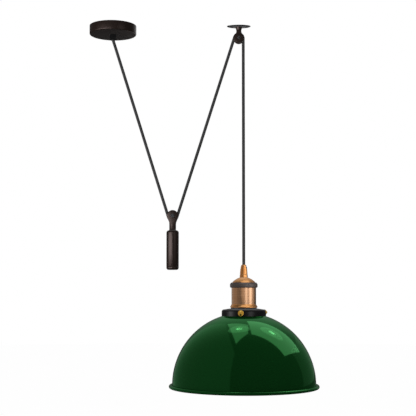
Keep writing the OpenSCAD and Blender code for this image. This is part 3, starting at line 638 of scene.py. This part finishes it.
# %% [markdown]
# ## Forks, wheels and their pins
# Each pulley is a fork with two rounded cheeks, joined over the wheel by a solid bridge
# that carries a turned neck. A fork is milled from one bar, so its parts are joined into
# one mesh before the axle hole is bored. The grooved wheels are turned, with a shallow
# recess on each face and a groove that fits the cord.


# %% Joining shapes into one
def joined(bm, *others):
    """Several closed shapes made into one skin."""
    for other in others:
        bm = carved(bm, other, "UNION")
    return bm


# %% The fork
GAP, CHEEK, THROAT, AXLE_BORE = 8.4, 2.6, 12.6, 2.05


def fork(cheek_r, waist, foot, shoulder, neck_outline):
    """Two cheeks, a bridge and a neck, with the axle at the origin, along Y."""
    lean = math.degrees(math.acos(shoulder))
    joint = (shoulder * cheek_r, math.sin(math.radians(lean)) * cheek_r)
    side = rounded([(0, THROAT + 4), (-waist, THROAT + 4), (-waist, foot),
                    (-joint[0], joint[1])], 1.6)[:-1]
    side += arc(0, 0, cheek_r, 180 - lean, 360 + lean, 40)
    side += rounded([joint, (waist, foot), (waist, THROAT + 4), (0, THROAT + 4)], 1.6)[1:-1]
    cheeks = []
    for way in (-1, 1):
        cheek = bmesh.new()
        upright = Matrix.Translation((0, way * (GAP + CHEEK) / 2, 0)) \
            @ Matrix.Rotation(math.radians(90), 4, "X")
        slab(cheek, side, CHEEK, upright, 0.5)
        cheeks.append(cheek)
    bridge = bmesh.new()
    width = GAP / 2 + CHEEK - 0.2
    slab(bridge, rounded([(0, -width), (waist - 0.2, -width), (waist - 0.2, width),
                          (0.2 - waist, width), (0.2 - waist, -width), (0, -width)],
                         0.8)[:-1], 3.8, Matrix.Translation((0, 0, THROAT + 1.9)), 0.3)
    neck = spun(neck_outline, steps=72)
    drill = spun([(0, -10), (AXLE_BORE, -10), (AXLE_BORE, 10), (0, 10)], LIE_ALONG_Y, 32)
    return carved(joined(*cheeks, bridge, neck), drill)


# %% Both forks
def flared(foot, top, r_low, r_high):
    """A neck that widens like a trumpet from its foot to its top."""
    curve = [(r_low + (r_high - r_low) * (1 - math.cos(math.radians(9 * i))),
              foot + (top - foot) * i / 10) for i in range(11)]
    return [(0, foot - 2), (r_low, foot - 2)] + curve + [(0, top)]


plate_top = ends("pulley_plate")[1]
fork_top = ends("pulley_fork")[1] - ceiling_axle.z / MM
pulley_fork = fork(10.6, 5.0, 11.4, 0.62, flared(THROAT - 1.2, fork_top, 4.7, 7.0))
piece("ceiling_fork", pulley_fork, ceiling_axle, "ceiling", bronze_paint,
      ("pulley_fork",), 35)

weight_neck = weight_axle.z / MM - ends("weight_fork")[0]
weight_fork = fork(11.4, 6.8, 13.6, 0.86,
                   [(0, THROAT + 2), (6.8, THROAT + 2), (6.8, weight_neck - 1.4),
                    (7.1, weight_neck - 0.5), (7.4, weight_neck), (0, weight_neck)])
bmesh.ops.rotate(weight_fork, cent=(0, 0, 0), verts=weight_fork.verts,
                 matrix=Matrix.Rotation(math.pi, 3, "X"))
piece("counterweight_fork", weight_fork, weight_axle, "counterweight", bronze_paint,
      ("weight_fork",), 35)


# %% Grooved wheels
GROOVE_AT, GROOVE_R = 9.2, 3.5


def grooved_wheel():
    """A turned pulley wheel with a shallow recess on each face."""
    groove = [(GROOVE_AT + GROOVE_R * math.sin(t), -GROOVE_R * math.cos(t))
              for t in [math.radians(-14 + i * -152 / 12) for i in range(13)]]
    wheel = spun([(3.02, -3.8), (4.9, -3.8), (5.3, -3.3), (8.4, -3.3), (8.9, -3.8),
                  (10.8, -3.8), (11.2, -3.5)] + groove
                 + [(11.2, 3.5), (10.8, 3.8), (8.9, 3.8), (8.4, 3.3), (5.3, 3.3), (4.9, 3.8),
                    (3.02, 3.8)], LIE_ALONG_Y, 72)
    return wheel


# %% Axle screws and nuts
HEAD_R, HEAD_H, SOCKET_R = 3.4, 1.8, 1.5
NUT_R, NUT_H, NUT_BORE = 4, 2.8, 2.02


def axle(front):
    """A shoulder screw with a domed, hex-socket head; front is the side of its head."""
    low = -(GAP / 2 + CHEEK)
    screw = spun([(0, low - HEAD_H), (HEAD_R - 1, low - HEAD_H)]
                 + arc(HEAD_R - 1, low - HEAD_H + 1, 1.0, -90, 0, 4)
                 + [(HEAD_R, low), (2, low), (2, -low + 2.9), (1.7, -low + 3.2), (0, -low + 3.2)],
                 LIE_ALONG_Y, 40)
    socket = bmesh.new()
    slab(socket, arc(0, 0, SOCKET_R, 0, 300, 5), 2.6,
         Matrix.Translation((0, low - HEAD_H, 0)) @ LIE_ALONG_Y)
    screw = carved(screw, socket)
    if front > 0:
        bmesh.ops.rotate(screw, cent=(0, 0, 0), verts=screw.verts,
                         matrix=Matrix.Rotation(math.pi, 3, "Z"))
    return screw


def hex_nut(at):
    """A chamfered nut on the Y axis, its near face at y = at."""
    nut = bmesh.new()
    slab(nut, arc(0, 0, NUT_R, 0, 300, 5), NUT_H)
    half, wide = NUT_H / 2, NUT_R + 0.2
    cone = spun([(0, -half - 1), (NUT_R * 0.86, -half - 0.02), (wide, -half + 0.55),
                 (wide, half - 0.55), (NUT_R * 0.86, half + 0.02), (0, half + 1)], steps=48)
    nut = carved(nut, cone, "INTERSECT")
    drill = spun([(0, -9), (NUT_BORE, -9), (NUT_BORE, 9), (0, 9)], steps=32)
    nut = carved(nut, drill)
    place = Matrix.Translation((0, at + half, 0)) @ LIE_ALONG_Y
    bmesh.ops.transform(nut, matrix=place, verts=nut.verts)
    return nut


# %% Wheels and pins in their forks
piece("ceiling_grooved_wheel", grooved_wheel(), ceiling_axle, "ceiling_wheel", bronze_paint,
      ("ceiling_wheel",), 30)
piece("weight_grooved_wheel", grooved_wheel(), weight_axle, "weight_wheel", bronze_paint,
      ("weight_wheel",), 30)
piece("ceiling_axle_screw", axle(-1), ceiling_axle, "ceiling", blackened_steel,
      ("ceiling_axle",), 35)
piece("weight_axle_screw", axle(1), weight_axle, "counterweight", blackened_steel,
      ("weight_axle",), 35)
piece("ceiling_axle_hex_nut", hex_nut(GAP / 2 + CHEEK), ceiling_axle,
      "ceiling", blackened_steel, ("ceiling_axle_nut",), 25)
piece("weight_axle_hex_nut", hex_nut(-GAP / 2 - CHEEK - NUT_H), weight_axle,
      "counterweight", blackened_steel, ("weight_axle_nut",), 25)

# %% [markdown]
# ## The ceiling plate
# The pulley hangs from a thin oval plate whose lower edge is rounded over, so that from
# below it looks like a shallow lens. Two countersunk holes take the ceiling screws.

# %% Pulley plate
plate_l, plate_w = radius("pulley_plate"), radius("pulley_plate", "y")
plate_x = centre("pulley_plate").x
plate = spun([(0, 0), (24, 0), (24, -0.6), (23.6, -1.1), (22.6, -1.55), (20.6, -1.95),
              (17, -2.3), (12, -2.45), (0, -2.5)])
bmesh.ops.scale(plate, vec=(plate_l / 24, plate_w / 24, 1), verts=plate.verts)
plate_holes = bmesh.new()
for side in (-1, 1):
    turned(plate_holes, [(0, -4), (4.5, -4), (4.2, -2.5), (2.2, -1.2), (2.2, 1), (0, 1)],
           Matrix.Translation((side * 16, 0, 0)), 40)
plate = carved(plate, plate_holes)
piece("ceiling_plate", plate, (plate_x, 0, plate_top * MM), "ceiling", blackened_steel,
      ("pulley_plate",), 40)

# %% [markdown]
# ## The counterweight
# A spun steel sleeve with a round shoulder is filled with a solid core, and a cap closes
# it below. The fine seam between sleeve and cap is a real gap in the outline of each.

# %% Counterweight sleeve and base cap
WALL, SHOULDER_R, FOOT_R = 1.5, 5, 4.5
shell_low, shell_high = ends("weight_shell")
cap_low = ends("weight_base_cap")[0]
weight_r = radius("weight_shell")
sleeve = spun([(4, shell_high)]
              + arc(weight_r - SHOULDER_R, shell_high - SHOULDER_R, SHOULDER_R, 90, 0, 10)
              + [(weight_r, shell_low + 0.35), (weight_r - 0.3, shell_low),
                 (weight_r - WALL, shell_low), (weight_r - WALL, shell_high - SHOULDER_R)]
              + arc(weight_r - SHOULDER_R, shell_high - SHOULDER_R, SHOULDER_R - WALL, 0, 90, 6)
              + [(4, shell_high - WALL)], steps=112)
piece("weight_sleeve", sleeve, (weight_x, 0, 0), "counterweight", bronze_paint,
      ("weight_shell",), 50)
base_cap = spun([(0, cap_low)] + arc(weight_r - FOOT_R, cap_low + FOOT_R, FOOT_R, -90, 0, 10)
                + [(weight_r, shell_low - 0.35), (weight_r - 0.3, shell_low),
                   (weight_r - 1.6, shell_low), (weight_r - 1.6, shell_low + 4),
                   (0, shell_low + 4)], steps=112)
piece("weight_foot", base_cap, (weight_x, 0, 0), "counterweight", bronze_paint,
      ("weight_base_cap",), 50)

# %% [markdown]
# ## The lampholder
# From the top: a cone that grips the cord, a short collar, a domed cap, a dark trim ring,
# the brushed barrel, and a bead above the gallery. Each is its own turned piece, and they
# meet in fine shadow lines, which is what makes a lampholder look assembled.

# %% Places round the lamp
def turn_of(node):
    """The angle round the lamp at which a solid sits."""
    at = centre(node)
    return math.atan2(at.y, at.x - lamp_x)


def facing_out(turn, z):
    """A frame whose Z points out of the lamp at one angle, and whose X points down."""
    return (Matrix.Translation((0, 0, z)) @ Matrix.Rotation(turn, 4, "Z")
            @ Matrix.Rotation(math.radians(90), 4, "Y"))


# %% Grip and collar
lamp_at = (lamp_x, 0, 0)
grip_low, grip_high = ends("cord_grip")
grip = spun(rounded([(3.15, grip_high - 1), (3.3, grip_high), (4.2, grip_high),
                     (4.9, grip_high - 0.7), (5.4, grip_high - 2.4), (6.0, grip_high - 5),
                     (6.7, grip_high - 8.5), (7.1, grip_high - 12), (7.6, grip_low + 0.4),
                     (7.4, grip_low), (5, grip_low), (5, grip_low + 3),
                     (3.15, grip_low + 3), (3.15, grip_high - 1)], 0.9)[:-1], steps=96)
grub_out = facing_out(turn_of("grip_grub_screw"), centre("grip_grub_screw").z / MM)
grip = carved(grip, spun([(0, 3), (1.55, 3), (1.55, 12), (0, 12)], grub_out, 28))
piece("grip_cone", grip, lamp_at, "lamp", copper_bright, ("cord_grip",), 35)

collar_low, collar_high = ends("grip_collar")
collar = spun(rounded([(5, collar_high), (7.5, collar_high), (7.75, collar_high - 0.3),
                       (7.95, collar_high - 2), (8.15, collar_low + 0.6), (8.2, collar_low),
                       (5, collar_low)], 0.3), steps=96)
piece("grip_ring", collar, lamp_at, "lamp", copper_bright, ("grip_collar",), 40)

# %% Cap, trim ring, barrel and bead
cap_base, cap_top = ends("holder_cap")
cap = spun(rounded([(5, cap_top), (8.3, cap_top), (12.4, cap_top - 1.7),
                    (17, cap_top - 4.2), (20.6, cap_top - 7), (22.8, cap_top - 9.2),
                    (23.9, cap_top - 11.8)], 2.2)
           + [(23.2, cap_top - 12), (22.6, cap_base), (21.8, cap_base), (21.8, cap_top - 11),
              (19.6, cap_top - 8.2), (15.8, cap_top - 5), (11.6, cap_top - 2.8),
              (5, cap_top - 1.2)], steps=112)
piece("cap_dome", cap, lamp_at, "lamp", copper_bright, ("holder_cap",), 40)

ring_low, ring_high = ends("holder_ring")
ring_r = radius("holder_ring")
ring = spun(rounded([(ring_r - 3.15, ring_high), (ring_r - 2.4, ring_high),
                     (ring_r - 1, ring_high - 1.9), (ring_r - 0.2, ring_high - 3.3),
                     (ring_r, ring_high - 4.9), (ring_r - 0.1, ring_low + 2.2),
                     (ring_r - 0.7, ring_low + 0.6), (ring_r - 2, ring_low),
                     (ring_r - 3.15, ring_low)], 0.8), steps=112)
piece("trim_ring", ring, lamp_at, "lamp", ring_grey, ("holder_ring",), 40)

barrel_low, barrel_high = ends("holder_shell")
barrel_r = radius("holder_shell")
barrel = spun(rounded([(barrel_r - 0.8, barrel_high), (barrel_r, barrel_high),
                       (barrel_r, barrel_low), (barrel_r - 0.8, barrel_low)], 0.25, 2),
              steps=128)
piece("barrel", barrel, lamp_at, "lamp", copper_brushed, ("holder_shell",), 40)

bead_low, bead_high = ends("holder_base")
bead_top = barrel_low - 0.05
bead_r = radius("holder_base")
bead = spun([(barrel_r - 0.95, bead_high), (barrel_r - 0.95, bead_top)]
            + rounded([(barrel_r - 0.6, bead_top), (barrel_r + 0.2, bead_top),
                       (barrel_r + 0.5, bead_top - 1.2), (barrel_r + 1.3, bead_top - 2.8),
                       (barrel_r + 2.4, bead_top - 4.2), (bead_r, bead_top - 5.2),
                       (barrel_r + 2.8, bead_top - 6.2), (barrel_r + 2.1, bead_top - 6.8),
                       (21, bead_top - 6.85)], 0.7)
            + [(20, bead_top - 6.85), (20, bead_low + 0.8), (19.6, bead_low), (18.6, bead_low),
               (18.6, bead_top - 4.1), (barrel_r - 2, bead_top - 4.1), (barrel_r - 2, bead_high)],
            steps=128)
piece("bead", bead, lamp_at, "lamp", copper_bright, ("holder_base",), 40)

# %% [markdown]
# ## Inside the socket
# Seen from below, the socket is white porcelain round a rolled brass thread. A thread is
# a helix, so a plain tube is turned with many rings, and its skin is then pushed in and
# out by a wave that climbs one pitch in a full turn.


# %% Screw shell and porcelain
def threaded(bm, pitch, depth, low, high):
    """Pushes the skin in and out along a helix, fading at both ends."""
    for vert in bm.verts:
        angle = math.atan2(vert.co.y, vert.co.x) / math.tau
        ease = min(1, max(0, (vert.co.z - low) / pitch), max(0, (high - vert.co.z) / pitch))
        wave = math.cos(math.tau * (vert.co.z / pitch - angle))
        push = 1 + ease * depth * wave / max(math.hypot(vert.co.x, vert.co.y), 0.1)
        vert.co.x, vert.co.y = vert.co.x * push, vert.co.y * push


LAMP_PITCH, LAMP_DEPTH = 3.62, 0.45
shell_bottom, shell_top = ends("screw_shell")
shell_r = radius("screw_shell")
rings = [shell_bottom + (shell_top - shell_bottom) * i / 56 for i in range(57)]
thread = spun([(shell_r - 0.75, z) for z in rings] + [(shell_r - 0.35, z) for z in rings[::-1]],
              steps=96)
threaded(thread, LAMP_PITCH, LAMP_DEPTH, shell_bottom, shell_top)
piece("rolled_thread", thread, lamp_at, "lamp", brass, ("screw_shell",), 60)

body_low, body_high = ends("porcelain_body")
body = spun(rounded([(0, body_low + 25), (13.9, body_low + 25), (13.9, body_low),
                     (20.5, body_low), (20.5, body_high - 3), (22.2, body_high - 3),
                     (22.2, body_high), (0, body_high)], 0.7), steps=96, closed=False)
terminal_bores = bmesh.new()
for way in (-1, 1):
    turned(terminal_bores, [(0, body_high - 9), (1.55, body_high - 9), (1.55, body_high + 1),
                            (0, body_high + 1)], Matrix.Translation((way * 11, 0, 0)), 24)
body = carved(body, terminal_bores)
piece("porcelain_insert", body, lamp_at, "lamp", porcelain,
      ("porcelain_body",), 40)

# %% [markdown]
# ## Gallery and thumb screws
# The gallery is a spun cup under the bead: a small step, a flat top, a round corner and a
# straight wall. Three round bosses on the wall carry brass thumb screws, each with a
# disc against the boss and a flat blade for the fingers.

# %% Gallery and bosses
gallery_low, gallery_high = ends("gallery")
gallery_r = radius("gallery")
screw_turns = {name: turn_of(name) for name in
               ("thumb_screw_front", "thumb_screw_right", "thumb_screw_left")}
print({name: round(math.degrees(turn) % 360, 1) for name, turn in screw_turns.items()})
screw_z = centre("gallery_bosses").z / MM
corner = gallery_r - 4.5
cup = spun(rounded([(20.2, gallery_high - 0.4), (20.6, gallery_high), (25.8, gallery_high),
                    (25.8, gallery_high - 1.6), (28, gallery_high - 1.9),
                    (corner - 0.2, gallery_high - 3.7)], 0.5)
           + arc(corner, gallery_high - 8.2, 4.5, 85, 0, 10)
           + rounded([(gallery_r, gallery_high - 9), (gallery_r, gallery_low),
                      (gallery_r - 1, gallery_low), (gallery_r - 1, gallery_high - 9)], 0.3, 2)
           + arc(corner, gallery_high - 8.2, 3.5, 0, 90, 8)
           + [(27, gallery_high - 3.3), (20.2, gallery_high - 3.0)], steps=144)
piece("gallery_cup", cup, lamp_at, "lamp", gallery_black, ("gallery",), 30)

bosses = bmesh.new()
for turn in screw_turns.values():
    turned(bosses, [(2.1, gallery_r - 1.05), (2.95, gallery_r - 1.05), (2.95, gallery_r - 0.5),
                    (6.2, gallery_r - 0.5), (6.2, gallery_r + 0.7)]
           + arc(5.7, gallery_r + 0.7, 0.5, 0, 90, 4) + [(2.1, gallery_r + 1.2)],
           facing_out(turn, screw_z), 56)
piece("boss_trio", bosses, lamp_at, "lamp", gallery_black,
      ("gallery_bosses",), 35)

# %% Thumb screws
BLADE_TURNS = {"thumb_screw_front": 0, "thumb_screw_right": 65, "thumb_screw_left": 30}
SCREW_PITCH, SCREW_DEPTH = 0.7, 0.16
NECK_R = 41.0  # the shade's neck, which the screws bear on
disc = gallery_r + 1.4
thread_z = [NECK_R + 0.6 + 0.2 * i for i in range(int((disc - NECK_R - 0.6) / 0.2))]
for name, turn in screw_turns.items():
    screw = spun([(0, NECK_R + 0.2), (1.4, NECK_R + 0.2)] + [(1.78, z) for z in thread_z]
                 + [(1.95, disc - 0.3), (1.95, disc)]
                 + rounded([(2.4, disc), (5.8, disc), (5.8, disc + 1.4), (0.01, disc + 1.4)],
                           0.35) + [(0, disc + 1.4)], steps=48)
    threaded(screw, SCREW_PITCH, SCREW_DEPTH, NECK_R + 0.4, disc - 0.4)
    blade = bmesh.new()
    crown = [(-5, disc + 1.3)] + arc(0, disc - 0.3, 5.4, 157.8, 22.2, 16) + [(5, disc + 1.3)]
    upright = Matrix.Rotation(math.radians(90), 4, "X")
    slab(blade, crown, 3.4, Matrix.Rotation(math.radians(BLADE_TURNS[name]), 4, "Z") @ upright,
         0.55, 4)
    screw = joined(screw, blade)
    bmesh.ops.transform(screw, matrix=facing_out(turn, screw_z), verts=screw.verts)
    piece(name.replace("thumb_screw", "finger_screw"), screw, lamp_at, name, brass,
          (name,), 38)

# %% [markdown]
# ## The shade
# The dome is spun from sheet steel and enamelled, deep green outside and white inside.
# Its solid comes in two zones, crown and skirt, and one piece stands for both. Its
# outline runs from the neck's lip down the outside, round the bead that stiffens the rim,
# and back up the inside, one millimetre away. The groove above the bead is where the
# rolled edge meets the dome again.

# %% Shade
shade_low, shade_high = ends("shade")[0], ends("shade_crown")[1]
DOME_R, SHEET, ROLL_R = 143.4, 1.0, 3.4
bead_at = (radius("shade") - ROLL_R, shade_low + ROLL_R)
dome_z = bead_at[1] + 3.0
lean_out = math.degrees(math.acos(NECK_R / DOME_R))
lean_in = math.degrees(math.acos((NECK_R - SHEET) / (DOME_R - SHEET)))
dome = bmesh.new()
neck = [(NECK_R - SHEET, dome_z + 136), (NECK_R - SHEET, shade_high),
        (NECK_R + 1.6, shade_high), (NECK_R + 1.6, shade_high - SHEET),
        (NECK_R, shade_high - SHEET), (NECK_R, dome_z + 138.4),
        (NECK_R + 1.1, dome_z + 137.06)]
turned(dome, rounded(neck, 0.6)[:-1] + arc(0, dome_z, DOME_R, lean_out - 0.5, 0, 60)
       + [(DOME_R, bead_at[1] + 2.2)] + arc(*bead_at, ROLL_R, 158, -168, 30)
       + [(DOME_R - SHEET, bead_at[1] + 1.6)]
       + arc(0, dome_z, DOME_R - SHEET, 0, lean_in - 0.2, 60), steps=192)
shade = piece("domed_shade", dome, lamp_at, "lamp", green_enamel,
              ("shade_crown", "shade"), 30)
shade.data.materials.append(white_enamel)
dome_centre = Vector((lamp_x, 0, dome_z * MM))
for part in shade.data.polygons:
    out = part.center - dome_centre
    level = math.hypot(out.x, out.y) / MM - bead_at[0], part.center.z / MM - bead_at[1]
    if part.normal.dot(out) < 0 and math.hypot(*level) > ROLL_R + 0.1:
        part.material_index = 1

# %% [markdown]
# ## The pieces that stay as they were
# Washers, nuts, terminals, cores and the rose's strap are already the right shape, and
# most of them are hidden inside. They keep their solids and get the same finishes.

# %% Small solids
small_solids = {
    zinc_steel: ("rose_bracket", "terminal_screws", "terminal_fixing_screw",
                 "earth_terminal", "pulley_neck_screw", "weight_stud", "weight_core",
                 "cap_nipple", "nipple_nut", "earth_tag"),
    blackened_steel: ("gland_grub_screw", "grip_grub_screw", "shade_ring_nut"),
    bronze_paint: ("rose_cover_screws",),
    black_nylon: ("gland_locknut",),
    brass: ("terminal_tubes", "ceiling_wheel_bush", "weight_wheel_bush", "centre_contact",
            "holder_terminal_screws"),
    white_nylon: ("terminal_block",),
    card: ("insulating_liner",),
    core_insulation: ("rose_cores", "holder_cores"),
}
for material, nodes in small_solids.items():
    for node in nodes:
        solid = frame["nodes"][node]
        solid.data.materials.clear()
        solid.data.materials.append(material)
print(sum(len(nodes) for nodes in small_solids.values()), "solids kept")

# %% [markdown]
# ## Floor and world
# The photograph is a cut-out on white. A pale floor lies well below the lamp, and both it
# and the world are white to the camera only. Diffuse surfaces get an even light from the
# world. Glossy ones see a dim studio that brightens towards a high pale backdrop behind
# the lamp, which lights the top of the dome and the edges of the metal. A pendant is
# mostly seen from below, so the floor's underside is clear.

# %% Floor
FLOOR_R, FLOOR_Z, FLOOR_GLOW, GLOW_SHARE = 12, -1.3, 1.04, 0.9
floor_paint = finish("floor_paint", (0.8, 0.8, 0.8), 0.9)
vary(floor_paint, patina, 2, ((0.78, 0.78, 0.78), (0.82, 0.82, 0.82)))
coat = floor_paint.node_tree
to_camera = added(coat, "LightPath").outputs["Is Camera Ray"]
glow = added(coat, "Emission", Strength=FLOOR_GLOW).outputs["Emission"]
upper = mixed_shaders(coat, math_node(coat, "MULTIPLY", to_camera, GLOW_SHARE),
                      coat.nodes["Principled BSDF"].outputs["BSDF"], glow)
from_below = added(coat, "NewGeometry").outputs["Backfacing"]
clear = added(coat, "BsdfTransparent").outputs["BSDF"]
coat.links.new(mixed_shaders(coat, from_below, upper, clear),
               coat.nodes["Material Output"].inputs["Surface"])
sheet = bmesh.new()
bmesh.ops.create_circle(sheet, cap_ends=True, segments=64, radius=FLOOR_R,
                        matrix=Matrix.Translation((lamp_x, 0, FLOOR_Z)))
floor = to_object("floor", sheet, floor_paint)

# %% World
SOFT_LEVEL, DIM_LEVEL, BACKDROP_LEVEL, BACKDROP_FOCUS = 0.72, 0.06, 0.66, 7.0
BACKDROP_WAY, WHITE = (0, 0.66, 0.75), (1, 1, 1, 1)
world = bpy.data.worlds.new("studio")
world.use_nodes = True
bpy.context.scene.world = world
sky = world.node_tree
path_kind, direction = added(sky, "LightPath"), added(sky, "TexCoord")
towards = added(sky, "VectorMath", {"operation": "DOT_PRODUCT"})
towards.inputs[1].default_value = BACKDROP_WAY
sky.links.new(direction.outputs["Generated"], towards.inputs[0])
faced = math_node(sky, "MAXIMUM", towards.outputs["Value"], 0.0)
studio = ranged(sky, math_node(sky, "POWER", faced, BACKDROP_FOCUS),
                DIM_LEVEL, DIM_LEVEL + BACKDROP_LEVEL)
soft_or_studio = added(sky, "Mix", {"data_type": "FLOAT"}, A=SOFT_LEVEL)
sky.links.new(path_kind.outputs["Is Glossy Ray"], soft_or_studio.inputs["Factor"])
sky.links.new(studio, soft_or_studio.inputs["B"])
lit, white = sky.nodes["Background"], added(sky, "Background", Color=WHITE)
lit.inputs["Color"].default_value = WHITE
sky.links.new(soft_or_studio.outputs["Result"], lit.inputs["Strength"])
seen = mixed_shaders(sky, path_kind.outputs["Is Camera Ray"],
                     lit.outputs["Background"], white.outputs["Background"])
sky.links.new(seen, sky.nodes["World Output"].inputs["Surface"])
print("even light", SOFT_LEVEL, "and a studio from", DIM_LEVEL, "to", DIM_LEVEL + BACKDROP_LEVEL)

# %% [markdown]
# ## Soft boxes
# Gloss is mostly a picture of the lights. The dome mirrors two big soft boxes above it,
# each with a lit bulb and its glow, between two dim walls. Copper and paint need tall
# strips beside them. One set of lights can't suit all of these, so each light is linked
# to the finishes it is meant for, as a photographer would light an enamel shade and a
# copper holder one after the other. Every light is given the brightness that its surface
# shows in a mirror.


# %% Placing a soft box
def seen_from(target, turn, lift, distance):
    """A place and the way to it; turn is counted from the camera's side to the right."""
    turn, lift = math.radians(turn), math.radians(lift)
    way = Vector((math.sin(turn) * math.cos(lift), -math.cos(turn) * math.cos(lift),
                  math.sin(lift)))
    return Vector(target) + way * distance, way


def soft_box(name, at, away, width, height, level, finishes, across=None,
             shape="RECTANGLE", colour=(1, 1, 1)):
    """An area light that only some finishes see; away points out of the pendant."""
    data = bpy.data.lights.new(name, "AREA")
    data.shape, data.size, data.size_y, data.color = shape, width, height, colour
    area = width * height * (math.pi / 4 if shape == "ELLIPSE" else 1)
    data.energy = level * math.pi * area
    back = Vector(away).normalized()
    side = Vector(across) if across else Vector((0, 0, 1)).cross(back)
    side = (side - back * side.dot(back)).normalized()
    box = bpy.data.objects.new(name, data)
    box.matrix_world = (Matrix.Translation(at)
                        @ Matrix((side, back.cross(side), back)).transposed().to_4x4())
    box.visible_camera = False
    bpy.context.scene.collection.objects.link(box)
    receivers = bpy.data.collections.new(name + "_sees")
    for made in bpy.data.objects:
        if made.type == "MESH" and set(made.data.materials) & set(finishes):
            receivers.objects.link(made)
    box.light_linking.receiver_collection = receivers
    return box


# %% [markdown]
# The photographed dome mirrors its lights whole, with nothing of the lampholder, the cord
# or the ceiling parts in them, and its rim mirrors no floor. So the dome's own lights
# pass these by, and all but the dome is kept out of mirrors.

# %% Soft boxes for the dome
enamel = (green_enamel,)
dome_lights = [
    soft_box("shade_wall_left", (lamp_x - 1.5, 0.1, 1.2), (-1, 0, 0), 7.0, 6.0, 0.15, enamel),
    soft_box("shade_wall_right", (lamp_x + 1.5, 1.9, -0.25), (1, 0, 0), 3.2, 1.1, 0.12, enamel),
    soft_box("shade_box_left", (0.248, 0.327, 1.544), (-0.958, 0.086, 0.273), 2.04, 1.23,
             1.2, enamel, across=(0.286, 0.293, 0.913)),
    soft_box("shade_box_right", (1.366, 0.614, 1.167), (0.667, 0.37, 0.647), 2.18, 1.62,
             1.6, enamel, across=(-0.726, 0.126, 0.676)),
]
for side, at, away, across in (("left", (0.09, 0.42, 1.4), (-0.082, 0.197, 0.977), (1, 0, 0)),
                               ("right", (1.26, 0.62, 1.0), (0.476, 0.339, 0.812), (1, 0, -0.6))):
    for part, width, height, level in (("bulb", 0.26, 0.17, 5.0), ("glow", 0.9, 0.6, 0.9)):
        dome_lights.append(soft_box(f"shade_{part}_{side}", at, away, width, height, level,
                                    enamel, across, "ELLIPSE"))
for box in dome_lights:
    box.light_linking.blocker_collection = box.light_linking.receiver_collection
for made in bpy.data.objects:
    if made.type == "MESH" and made is not shade:
        made.visible_glossy = False

# %% [markdown]
# Copper takes its look from bright and dark bands. A narrow and a wide box make them, and
# the boxes at its sides are warm, so that its darker bands stay red-brown. The paints are
# darker, so their boxes are stronger and come from the left.

# %% Soft boxes for copper, bronze and black
HOLDER, WEIGHT, ROSE = (lamp_x, 0, -0.54), (weight_x, 0, -0.45), (0, 0, -0.01)
DISTANCE, NEUTRAL, WARM = 2.0, (1, 1, 1), (1, 0.8, 0.61)
copper = (copper_bright, copper_brushed, brass, ring_grey)
bronze = (bronze_paint, blackened_steel, braid)
black = (gallery_black, zinc_steel)
for name, target, turn, lift, width, height, level, finishes, colour in (
        ("copper_front", HOLDER, 22, 6, 0.55, 2.4, 1.35, copper, NEUTRAL),
        ("copper_right", HOLDER, 64, 6, 0.9, 2.4, 1.4, copper, NEUTRAL),
        ("copper_wide", HOLDER, 30, 8, 6.0, 2.4, 0.44, copper, WARM),
        ("copper_left", HOLDER, -95, 4, 2.0, 2.4, 0.25, copper, WARM),
        ("copper_low_left", HOLDER, -52, 4, 1.2, 2.4, 0.14, copper, WARM),
        ("copper_edge", HOLDER, 98, 4, 1.0, 2.4, 0.35, copper, WARM),
        ("copper_back", HOLDER, -135, 0, 0.9, 2.0, 0.4, copper, NEUTRAL),
        ("copper_top", HOLDER, 30, 72, 2.2, 1.8, 0.9, copper, NEUTRAL),
        ("bronze_left", WEIGHT, -42, -8, 2.6, 1.5, 5.4, bronze, NEUTRAL),
        ("bronze_right", WEIGHT, 42, 4, 0.9, 2.0, 0.7, bronze, NEUTRAL),
        ("bronze_front", ROSE, -14, 20, 2.6, 0.9, 0.12, bronze, NEUTRAL),
        ("bronze_back", WEIGHT, 160, 4, 1.5, 2.0, 0.7, bronze, NEUTRAL),
        ("black_left", HOLDER, -75, -2, 0.9, 1.8, 3.0, black, NEUTRAL),
        ("black_right", HOLDER, 34, -2, 0.7, 1.8, 2.1, black, NEUTRAL)):
    at, away = seen_from(target, turn, lift, DISTANCE)
    soft_box(name, at, away, width, height, level, finishes, colour=colour)

# %% [markdown]
# ## Finish
# The view is the plain Standard one.

# %% View
bpy.context.scene.view_settings.view_transform = "Standard"
